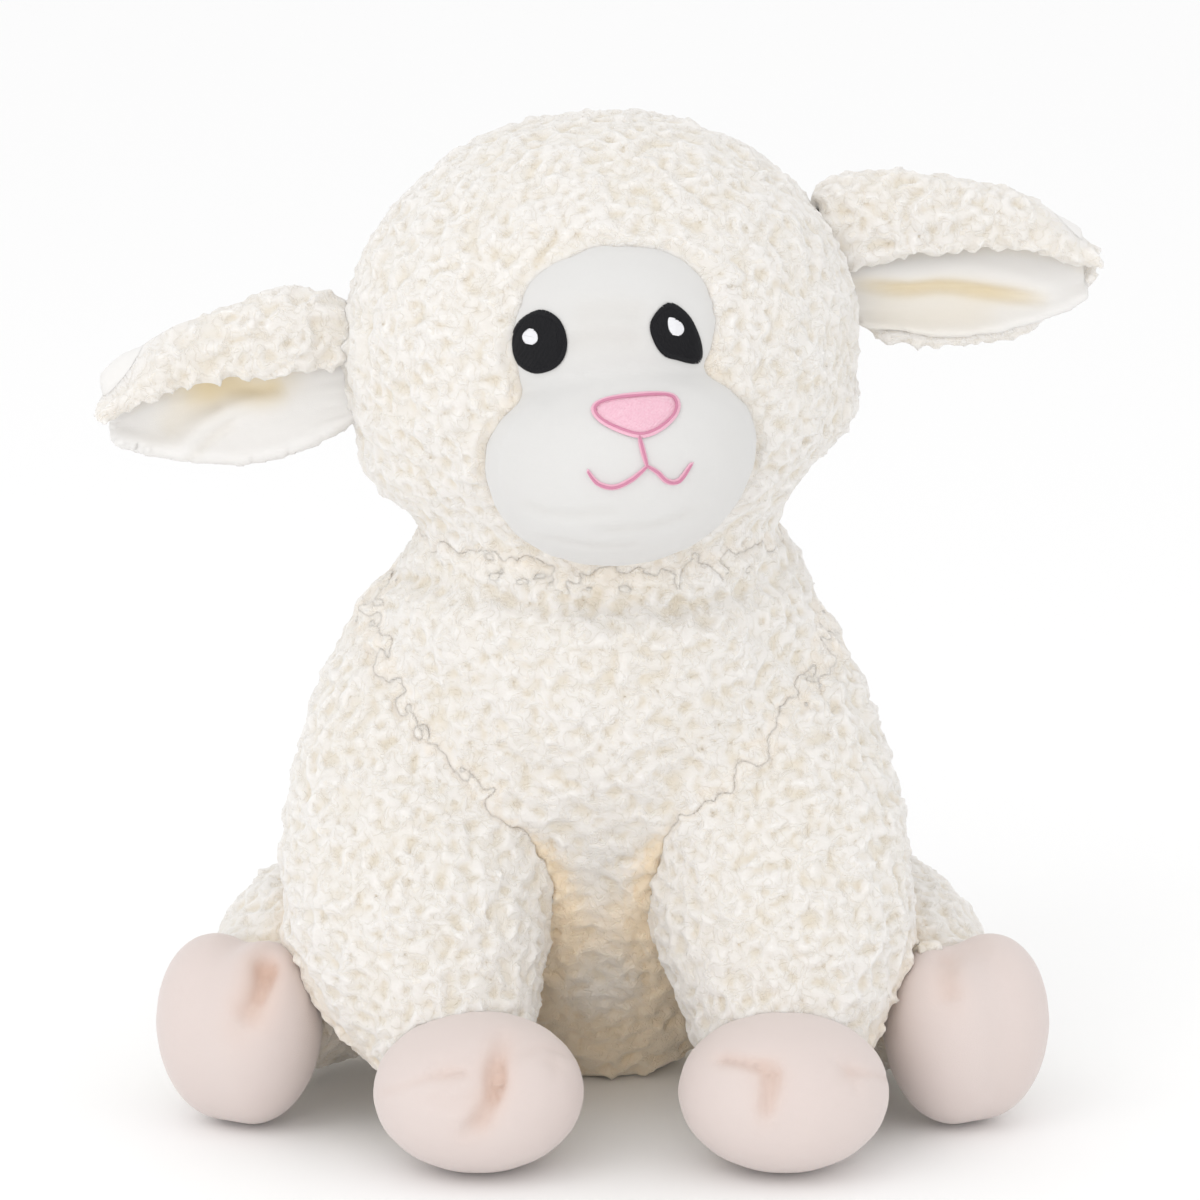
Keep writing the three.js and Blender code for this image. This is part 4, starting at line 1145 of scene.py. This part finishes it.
face_tree = tree_of(face_form)
head_points = points_of(head_form)
head_support = tree_of(head_form)
edge = distance_outside(head_form, face_form) + ragged(head_points, EDGE_SIZE, FACE_RAGGED)
share = ramp(edge, *FACE_EDGE)
for pixel in EYES.values():
    place, _ = seen(pixel, face_tree, head_support)
    from_eye = np.linalg.norm(head_points - np.array(place), axis=1)
    share *= ramp(from_eye, EYE_TRIM, EYE_TRIM + EYE_FADE)
give(head_form, "pile_share", share)
head_pile = grow_pile("head_pile", head_form.copy(), seed=3, melt=HEAD_VOXEL)
sew(head_pile, "head", ["head_cover", "head_filling"])

under_pile = -distance_outside(face_form, head_form)
press(face_form, FACE_TUCK * ramp(under_pile, *TUCK_RANGE))
smooth_shaded(face_form, face_cloth)
face = placed("face", face_form)
sew(face, "head", ["face_panel"])

# %% [markdown]
# ## Body, neck and tail
#
# The body stands on a flat panel that has no pile to speak of. The neck is a roll of gathered
# pile between body and head, and the tail is a short stub of the same cloth.

# %% Dress the body
BODY_RISE = (1 * MM, 6 * MM)
BODY_VOXEL = 1.12 * MM
NECK_SHARE = 0.8
TAIL_VOXEL = 1.8 * MM
TAIL_ROUNDS = 3
give(body_form, "pile_share", ramp(points_of(body_form)[:, 2], *BODY_RISE))
body_pile = grow_pile("body_pile", body_form, seed=5, melt=BODY_VOXEL, warmth=1.0)
sew(body_pile, "body", BODY_NODES)

give(neck_form, "pile_share", np.full(len(neck_form.vertices), NECK_SHARE))
neck_pile = grow_pile("neck_pile", neck_form, seed=7)
sew(neck_pile, "neck", ["neck_band"])

tail_form = skin("tail_form", ["tail"], TAIL_VOXEL, TAIL_ROUNDS)
give(tail_form, "pile_share", np.ones(len(tail_form.vertices)))
tail_pile = grow_pile("tail_pile", tail_form, seed=9)
sew(tail_pile, "tail", ["tail"])

# %% [markdown]
# ## The legs
#
# Each hoof is a velour bag with a seam round its middle and a tuck in its front. The tuck pulls a
# short crease and a dimple, and the ends of the seam pucker. The tables give pixels of the photo
# first. Then a crease has its width and depth in mm and the amount of shade painted into it, and a
# dimple its radius and depth in mm, the number of its folds and the amount of shade painted into it.
#
# The pile stands where the skin of the leg lies outside the hoof. Past the middle of the hoof it
# never does, so that no tuft comes out of the sole.

# %% Dress the legs
HOOF_SINKS = {
    "right_hind_leg": ((300, 943), 22.0, 6.0),
    "left_hind_leg": ((948, 946), 20.0, 3.5),
}
HOOF_CREASES = {
    "right_foreleg": (
        (((505, 1035), (497, 1062), (495, 1090), (482, 1118), (468, 1132)), 2.3, 2.8, 0.45),
        (((501, 1058), (498, 1084), (491, 1106)), 0.9, 1.2, 0.25),
        (((420, 1079), (446, 1073), (468, 1073)), 1.0, 0.9, 0.15),
        (((376, 1094), (400, 1087), (424, 1080)), 0.8, 0.3, 0.10),
        (((424, 1098), (452, 1104), (478, 1094)), 1.8, 0.7, 0.05),
        (((520, 1056), (544, 1046), (576, 1058)), 1.6, 0.7, 0.05),
    ),
    "left_foreleg": (
        (((772, 1064), (770, 1088), (764, 1120)), 1.9, 2.2, 0.40),
        (((716, 1058), (740, 1061), (770, 1066)), 1.4, 1.6, 0.40),
        (((846, 1070), (870, 1074), (894, 1079)), 1.0, 0.7, 0.12),
    ),
    "right_hind_leg": (
        (((268, 946), (264, 975), (254, 1004), (240, 1026)), 4.0, 3.4, 0.50),
        (((270, 962), (265, 985), (256, 1006)), 1.6, 1.4, 0.25),
    ),
    "left_hind_leg": (
        (((952, 948), (946, 975), (952, 1004)), 3.0, 2.0, 0.30),
    ),
}
HOOF_DIMPLES = {
    "right_foreleg": (
        ((492, 1080), 12.0, 1.6, 0, 0.15),
        ((448, 1074), 8.0, 0.8, 5, 0.12),
        ((556, 1064), 7.0, 0.6, 4, 0.06),
    ),
    "left_foreleg": (
        ((766, 1078), 12.0, 1.6, 0, 0.12),
        ((850, 1072), 8.0, 1.0, 5, 0.15),
    ),
    "right_hind_leg": (((266, 972), 10.0, 1.6, 0, 0.20),),
    "left_hind_leg": (),
}
CLEFT_REACH = {"fore": 3 * MM, "hind": 1.2 * MM}
PAST_HOOF = (-10 * MM, -5 * MM)
HOOF_TUCK = 4 * MM
HOOF_ROUNDS = 8
RIM_SIZE = 6 * MM
RIM_RAGGED = 0.3 * MM
RIM_HALF = 0.6 * MM
UNDER_HOOF = 0.3
UNDER_RANGE = (0.2 * MM, 1.2 * MM)
FIRST_LEG_SEED = 11


def dress_leg(leg, seed):
    """Makes the pile and the hoof of one leg, and gives the pile."""
    hoof_nodes = [f"{leg}_hoof_{piece}" for piece in ("top", "sole", "tuck")]
    cleft_reach = CLEFT_REACH["hind" if "hind" in leg else "fore"]
    hoof_form = closed_skin(f"{leg}_hoof", [*hoof_nodes, f"{leg}_filling"], cleft_reach, FINE_VOXEL)
    move_points(hoof_form, averaged(hoof_form, points_of(hoof_form), HOOF_ROUNDS))
    if leg in HOOF_SINKS:
        pixel, radius, depth = HOOF_SINKS[leg]
        dimple(hoof_form, pixel, radius * MM, depth * MM)
    leg_form = leg_forms[leg]
    outside = distance_outside(leg_form, hoof_form)
    middle = np.mean([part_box(node) for node in hoof_nodes[:2]], axis=(0, 1))
    way = middle - points_of(leg_form).mean(axis=0)
    along = (points_of(leg_form) - middle) @ (way / np.linalg.norm(way))
    past = ramp(along, *PAST_HOOF)
    outside = outside * (1 - past) - HOOF_TUCK * past
    edge = outside + ragged(points_of(leg_form), RIM_SIZE, RIM_RAGGED)
    share = ramp(edge, -RIM_HALF, RIM_HALF)
    give(leg_form, "pile_share", share)
    print(f"{leg}: {share.mean():.0%} of its skin stands outside the hoof")
    for pixels, width, depth, painted_shade_amount in HOOF_CREASES[leg]:
        crease(hoof_form, pixels, width * MM, depth * MM, painted_shade_amount)
    for pixel, radius, depth, folds, painted_shade_amount in HOOF_DIMPLES[leg]:
        dimple(hoof_form, pixel, radius * MM, depth * MM, folds, painted_shade_amount)
    smooth_shaded(hoof_form, hoof_cloth)
    points = points_of(leg_form)
    under = UNDER_HOOF * ramp(-outside, *UNDER_RANGE)
    points += (middle - points) * under[:, None]
    move_points(leg_form, points)
    leg_pile = grow_pile(f"{leg}_pile", leg_form, seed)
    sew(leg_pile, leg, LEG_NODES[leg])
    sew(placed(f"{leg}_hoof", hoof_form), leg, hoof_nodes)
    return leg_pile


leg_piles = [dress_leg(leg, FIRST_LEG_SEED + i) for i, leg in enumerate(LEGS)]

# %% [markdown]
# Where the pile of a leg meets the pile of the body, their fibres mingle, and no deep tone marks
# the line between them. So points that nearly touch the other pile lose their painted crevice shade
# and take the tone of the tips, with a faint painted warm shade.

# %% Mingle the piles
MINGLE_RANGE = (0.4 * MM, 1.6 * MM)
MINGLE_WARM_SHADE = 0.15


def mingle(piece, others):
    """Gives the tone of the tips, with a faint painted warm shade, to a piece's points that nearly touch
    another piece.
    """
    mesh = piece.data
    trees = [tree_of(other.data) for other in others]
    gap = np.full(len(mesh.vertices), MINGLE_RANGE[1])
    for i, vertex in enumerate(mesh.vertices):
        for tree in trees:
            hit = tree.find_nearest(vertex.co, gap[i])
            if hit[0] is not None:
                gap[i] = hit[3]
    touching = 1 - ramp(gap, *MINGLE_RANGE)
    give(mesh, "depth", np.maximum(taken(mesh, "depth"), touching))
    give(mesh, "warmth", np.maximum(taken(mesh, "warmth"), MINGLE_WARM_SHADE * touching))
    print(f"{piece.name}: {touching.mean():.1%} of its points touch other pile")


mingle(body_pile, leg_piles)
mingle(head_pile, [body_pile, neck_pile])
for leg_pile in leg_piles:
    mingle(leg_pile, [body_pile])

# %% [markdown]
# ## The ears
#
# An ear is a flat bag that folds over forwards: pile outside, smooth velour inside. The pile stops
# at the seam with the lining. The lining has soft folds, and a golden shade is painted on it deep
# under the flap and in its folds. The root of each ear is drawn into the head, and its end is
# rounded.

# %% Dress the ears
LINING_CREASES = {
    "right_ear": (
        (((180, 394), (226, 386), (262, 390), (285, 380)), 2.8, 1.4, 0.80),
        (((160, 432), (190, 412), (225, 398)), 3.0, 1.2, 0.20),
        (((183, 450), (205, 425), (235, 408), (268, 396)), 2.6, -1.6, 0.0),
        (((189, 462), (212, 438), (237, 420)), 1.0, 0.8, 0.08),
    ),
    "left_ear": (
        (((850, 270), (905, 272), (960, 268), (1010, 276), (1060, 290)), 4.5, -1.8, 0.0),
        (((857, 284), (905, 289), (945, 286), (990, 292), (1040, 299)), 1.5, 2.4, 0.70),
        (((857, 312), (905, 316), (950, 312), (1000, 306)), 5.0, 0.8, 0.25),
    ),
}
EAR_VOXEL = 1.8 * MM
EAR_ROUNDS = 2
LINING_VOXEL = 1.0 * MM
LINING_ROUNDS = 8
ROOT_DEPTH = 3 * MM
ROOT_RANGE = (4 * MM, 16 * MM)
TIP_START = 0.8
TIP_ROUNDING = 0.75
TIP_END = 0.93
LINING_SWELL = {"right_ear": 1.6 * MM, "left_ear": 0.6 * MM}
LINING_STRETCH = {"right_ear": 8 * MM, "left_ear": 7 * MM}
STRETCH_START = 0.5
RIM_TUCK = {"right_ear": 4 * MM, "left_ear": 0.0}
RIM_RANGE = (2 * MM, 6 * MM)
GOLDEN_SHADE_START = 0.25
GOLDEN_SHADE_GAIN = 1.6
SEAM_RAGGED = 0.8 * MM
SEAM_RANGE = (1.8 * MM, 4.5 * MM)
FIRST_EAR_SEED = 21


def reach_for(mesh, tree):
    """Draws a form's nearest points into another surface, so that its root is sewn into it."""
    points = points_of(mesh)
    for i, point in enumerate(points):
        near, normal, _, gap = tree.find_nearest(point)
        goal = np.array(near - normal * ROOT_DEPTH)
        points[i] += (goal - point) * float(1 - ramp(gap, *ROOT_RANGE))
    move_points(mesh, points)


def along_ear(points):
    """How far along its ear each point lies: 0 at the root, 1 at the tip."""
    outer = np.abs(points[:, 0])
    return (outer - outer.min()) / (outer.max() - outer.min())


def round_tip(mesh):
    """Rounds the corners of an ear's end."""
    points = points_of(mesh)
    along = along_ear(points)
    late = np.clip((along - TIP_START) / (1 - TIP_START), 0, 1)
    at_tip = points[along > TIP_END]
    middle = at_tip[:, 2].mean()
    points[:, 2] = middle + (points[:, 2] - middle) * np.sqrt(1 - TIP_ROUNDING * late ** 2)
    move_points(mesh, points)


def shape_lining(mesh, ear):
    """Swells the lining, and stretches its end towards the tip of the ear."""
    points = points_of(mesh) + normals_of(mesh) * LINING_SWELL[ear]
    along = along_ear(points)
    points[:, 0] += np.sign(points[:, 0]) * LINING_STRETCH[ear] * ramp(along, STRETCH_START, 1)
    move_points(mesh, points)


def tuck_rim(mesh, lining, amount):
    """Draws the low rim of the pile in behind the lining, which rolls over it."""
    heights = points_of(lining)[:, 2]
    low, high = heights.min(), heights.max()
    close = 1 - ramp(np.abs(distance_outside(mesh, lining)), *RIM_RANGE)
    at_rim = 1 - ramp(points_of(mesh)[:, 2], low, (low + high) / 2)
    press(mesh, amount * close * at_rim)


for i, ear in enumerate(("right_ear", "left_ear")):
    ear_form = skin(f"{ear}_form", [f"{ear}_outer"], EAR_VOXEL, EAR_ROUNDS)
    lining_form = skin(f"{ear}_lining_form", [f"{ear}_lining"], LINING_VOXEL, LINING_ROUNDS)
    shape_lining(lining_form, ear)
    round_tip(ear_form)
    for form in (ear_form, lining_form):
        reach_for(form, head_support)
    tuck_rim(ear_form, lining_form, RIM_TUCK[ear])
    # Painted golden shade on the lining where the flap encloses it, and painted shade in its creases.
    store_enclosure(lining_form, [tree_of(ear_form), tree_of(lining_form)])
    enclosed = taken(lining_form, "enclosure")
    give(lining_form, "depth", 1 - np.clip(GOLDEN_SHADE_GAIN * (enclosed - GOLDEN_SHADE_START), 0, 1))
    for pixels, width, depth, painted_shade_amount in LINING_CREASES[ear]:
        crease(lining_form, pixels, width * MM, depth * MM, painted_shade_amount)
    from_seam = np.abs(distance_outside(ear_form, lining_form))
    edge = from_seam + ragged(points_of(ear_form), EDGE_SIZE, SEAM_RAGGED)
    give(ear_form, "pile_share", ramp(edge, *SEAM_RANGE))
    ear_pile = grow_pile(f"{ear}_pile", ear_form, FIRST_EAR_SEED + i)
    sew(ear_pile, ear, [f"{ear}_outer"])
    smooth_shaded(lining_form, lining_cloth)
    lining = placed(f"{ear}_smooth_lining", lining_form)
    sew(lining, ear, [f"{ear}_lining"])

# %% [markdown]
# ## Embroidery
#
# The eyes, nose and mouth are satin stitches: threads laid side by side from edge to edge of a
# shape. Each thread is a short path over the face, and a Geometry Nodes tree sweeps a round
# section along all of them. The outlines are named pixels of the photograph, and rays put every
# point of a thread on the face.


# %% Build the thread tree
def thread_tree():
    """A Geometry Nodes tree: edges in, threads with a round section out."""
    tree, entry = empty_tree("thread_tree", {"Thread Radius": "Float", "Sides": "Int"})
    paths = add(tree, "GeometryNodeMeshToCurve", {0: entry.outputs["Geometry"]})
    section = add(tree, "GeometryNodeCurvePrimitiveCircle", {
        "Resolution": entry.outputs["Sides"],
        "Radius": entry.outputs["Thread Radius"],
    })
    swept = add(tree, "GeometryNodeCurveToMesh", {
        "Curve": paths.outputs[0],
        "Profile Curve": section.outputs[0],
        "Fill Caps": True,
    })
    end_tree(tree, entry, swept.outputs[0])
    return tree


thread_nodes = thread_tree()
print("thread tree with", len(thread_nodes.nodes), "nodes")

# %% [markdown]
# A stitch runs between two pixels, and it arches over the face as a tight thread does over its
# padding. Stitches that lie side by side fill an outline, and short ones across a path make a
# cord of even width.

# %% Lay the stitches
PIXEL = SENSOR / LENS * CAMERA_DISTANCE / PHOTO_SIZE
THREAD_PITCH = 0.34 * MM
THREAD_LIFT = 0.25 * MM
FILL_STEPS = 6
COLUMN_STEPS = 3
supports = (tree_of(face_form), head_support)


def laid(start, end, steps, arch, lift=THREAD_LIFT):
    """One stitch between two pixels, arched over the face."""
    path = []
    for step in range(steps + 1):
        t = step / steps
        place, normal = seen(start.lerp(end, t), *supports)
        path.append(place + normal * (lift + arch * (1 - (2 * t - 1) ** 2)))
    return path


def satin_fill(outline, angle, arch, steps=FILL_STEPS, lift=THREAD_LIFT):
    """Stitches side by side across a closed outline, at an angle in the picture."""
    way = Vector((math.cos(angle), math.sin(angle)))
    aside = Vector((-way.y, way.x))
    reach = [point.dot(aside) for point in outline]
    stitches = []
    pitch = THREAD_PITCH / PIXEL
    row = min(reach) + pitch / 2
    while row < max(reach):
        crossings = []
        for a, b in zip(outline, [*outline[1:], outline[0]]):
            low, high = a.dot(aside) - row, b.dot(aside) - row
            if low * high < 0:
                crossings.append(a.lerp(b, low / (low - high)).dot(way))
        crossings.sort()
        for low, high in zip(crossings[::2], crossings[1::2]):
            start = aside * row + way * low
            end = aside * row + way * high
            stitches.append(laid(start, end, steps, arch, lift))
        row += pitch
    return stitches


def satin_column(path, width, arch, lift=THREAD_LIFT, taper=0.0):
    """Short stitches across a path, close together, as wide as `width` at its middle."""
    stitches = []
    lengths = [(b - a).length for a, b in zip(path, path[1:])]
    total = sum(lengths)
    count = int(total * PIXEL / THREAD_PITCH)
    for k in range(count + 1):
        rest = total * k / count
        i = 0
        while i < len(lengths) - 1 and rest > lengths[i]:
            rest -= lengths[i]
            i += 1
        point = path[i].lerp(path[i + 1], min(rest / lengths[i], 1))
        way = (path[i + 1] - path[i]).normalized()
        aside = Vector((-way.y, way.x))
        swell = 1 - taper * abs(2 * k / count - 1) ** 3
        half = aside * width / PIXEL / 2 * swell
        lean = way * THREAD_PITCH / PIXEL
        stitches.append(laid(point - half - lean, point + half + lean, COLUMN_STEPS, arch, lift))
    return stitches


print(f"a pixel is {PIXEL / MM:.3f} mm wide at the toy")

# %% [markdown]
# A patch of the same colour lies under the stitches of an outline, so that no face shows between
# two threads. Some pieces also have a line of stitches with a painted shadow on them, where the
# needle has drawn the cloth in: its points are marked with a `depth` of 0, and the thread's
# material paints them darker.

# %% Sew a piece
THREAD_RADIUS = 0.21 * MM
THREAD_SIDES = 5
BACKING_RINGS = (0.94, 0.75, 0.5, 0.25)


def backing(outline, lift):
    """A thin patch under the stitches, in rings from the outline to its middle."""
    middle = sum(outline, Vector((0, 0))) / len(outline)
    work = bmesh.new()
    loops = []
    for ring in BACKING_RINGS:
        loop = []
        for point in outline:
            place, normal = seen(middle.lerp(point, ring), *supports)
            loop.append(work.verts.new(place + normal * (lift if ring < BACKING_RINGS[0] else 0)))
        loops.append(loop)
    place, normal = seen(middle, *supports)
    centre = work.verts.new(place + normal * lift)
    count = len(outline)
    for outer, inner in zip(loops, loops[1:]):
        for i in range(count):
            j = (i + 1) % count
            work.faces.new((outer[i], outer[j], inner[j], inner[i]))
    for i in range(count):
        work.faces.new((loops[-1][i], loops[-1][(i + 1) % count], centre))
    return work


def embroider(name, stitches, node, slot, outline=None, line=()):
    """Sweeps the stitches, and those of a `line` with a painted shadow on them, into threads; adds the
    backing.
    """
    verts, edges, tones = [], [], []
    for paths, tone in ((stitches, 1.0), (line, 0.0)):
        for path in paths:
            first = len(verts)
            verts += path
            edges += [(first + i, first + i + 1) for i in range(len(path) - 1)]
            tones += [tone] * len(path)
    mesh = bpy.data.meshes.new(name)
    mesh.from_pydata(verts, edges, [])
    give(mesh, "depth", tones)
    obj = placed(name, mesh)
    modifier = obj.modifiers.new("threads", "NODES")
    modifier.node_group = thread_nodes
    set_inputs(modifier, {
        "Thread Radius": THREAD_RADIUS,
        "Sides": THREAD_SIDES,
        "Cloth": threads[slot],
    })
    sewn = baked(obj)
    if outline:
        work = backing(outline, THREAD_LIFT)
        work.from_mesh(sewn)
        bmesh.ops.recalc_face_normals(work, faces=work.faces)
        work.to_mesh(sewn)
        work.free()
    smooth_shaded(sewn, threads[slot])
    piece = placed(name, sewn)
    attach(piece, "head")
    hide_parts(node)
    print(name, len(stitches), "stitches")


# %% [markdown]
# Each eye is filled across and then rimmed with a cord, and a few white stitches on top make its
# glint.

# %% Embroider the eyes
EYE_OUTLINES = {
    "right_eye": (
        (540, 313), (556, 320), (564, 337), (562, 356), (551, 367),
        (534, 370), (519, 360), (515, 343), (521, 324),
    ),
    "left_eye": (
        (668, 306), (685, 316), (695, 334), (699, 350), (697, 360),
        (688, 360), (677, 357), (665, 353), (656, 340), (653, 323),
    ),
}
EYE_ANGLES = {"right_eye": 1.45, "left_eye": 1.7}
EYE_POINTS = 48
EYE_ARCH = 0.55 * MM
EYE_RIM_WIDTH = 1.5 * MM
EYE_RIM_ARCH = 0.35 * MM
GLINTS = {
    "right_eye_glint": ((532, 329), (538, 333), (539, 340), (534, 344), (527, 342), (525, 335)),
    "left_eye_glint": ((668, 318), (679, 323), (682, 330), (678, 335), (671, 334), (667, 327)),
}
GLINT_POINTS = 24
GLINT_ANGLE = 0.2
GLINT_ARCH = 0.35 * MM
GLINT_STEPS = 4
GLINT_LIFT = 0.95 * MM
for name, knots in EYE_OUTLINES.items():
    outline = smooth_path(knots, EYE_POINTS, closed=True)
    stitches = satin_fill(outline, EYE_ANGLES[name], EYE_ARCH)
    stitches += satin_column(outline + outline[:1], EYE_RIM_WIDTH, EYE_RIM_ARCH)
    embroider(f"{name}_stitches", stitches, name, "black_thread", outline)
for name, knots in GLINTS.items():
    outline = smooth_path(knots, GLINT_POINTS, closed=True)
    stitches = satin_fill(outline, GLINT_ANGLE, GLINT_ARCH, GLINT_STEPS, GLINT_LIFT)
    embroider(f"{name}_stitches", stitches, name, "white_thread")

# %% [markdown]
# The nose is filled across, with a cord round it. The mouth is three cords that meet under the
# nose, and they taper a little towards their ends. The line of painted shadow on the nose lies a
# pixel or two inside its outline, and that of the mouth runs along the middle of each cord.

# %% Embroider nose and mouth
NOSE = (
    (594, 409), (606, 401), (636, 396), (668, 396), (677, 404),
    (674, 416), (660, 429), (641, 436), (618, 430), (600, 420),
)
PHILTRUM = ((639, 437), (643, 452), (647, 466))
SMILES = {
    "right": ((647, 466), (632, 479), (614, 487), (598, 483), (588, 471)),
    "left": ((647, 466), (657, 472), (667, 481), (679, 480), (691, 463)),
}
NOSE_POINTS = 60
NOSE_ANGLE = 0.35
NOSE_STEPS = 8
CORD_ARCH = 0.3 * MM
RIM_WIDTH = 1.3 * MM
RIM_LIFT = 0.45 * MM
MOUTH_POINTS = 24
MOUTH_WIDTH = 1.4 * MM
MOUTH_TAPER = 0.5
LINE_INSET_PIXELS = 1.6
LINE_WIDTH = 0.5 * MM
LINE_ARCH = 0.1 * MM
LINE_LIFT = 0.85 * MM
LINE_TAPER = 0.4
nose = smooth_path(NOSE, NOSE_POINTS, closed=True)
stitches = satin_fill(nose, NOSE_ANGLE, CORD_ARCH, NOSE_STEPS)
embroider("nose_stitches", stitches, "nose_patch", "pink_thread", nose)
rim = satin_column(nose + nose[:1], RIM_WIDTH, CORD_ARCH, RIM_LIFT)
nose_middle = sum(nose, Vector((0, 0))) / len(nose)
inner = [point + (nose_middle - point).normalized() * LINE_INSET_PIXELS for point in nose]
rim_line = satin_column(inner + inner[:1], LINE_WIDTH, LINE_ARCH, LINE_LIFT)
embroider("nose_rim_stitches", rim, "nose_outline", "dark_pink_thread", line=rim_line)
mouth, mouth_line = [], []
for knots in (PHILTRUM, *SMILES.values()):
    path = smooth_path(knots, MOUTH_POINTS)
    mouth += satin_column(path, MOUTH_WIDTH, CORD_ARCH, taper=MOUTH_TAPER)
    mouth_line += satin_column(path[1:-1], LINE_WIDTH, LINE_ARCH, LINE_LIFT, taper=LINE_TAPER)
embroider("mouth_stitches", mouth, "mouth_stitching", "dark_pink_thread", line=mouth_line)

# %% [markdown]
# ## Finish
#
# The names of the solids that still show are printed.

# %% List the solids that still show
shown = [name for name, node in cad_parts.items() if not node.hide_render]
print("nodes that still show:", shown)
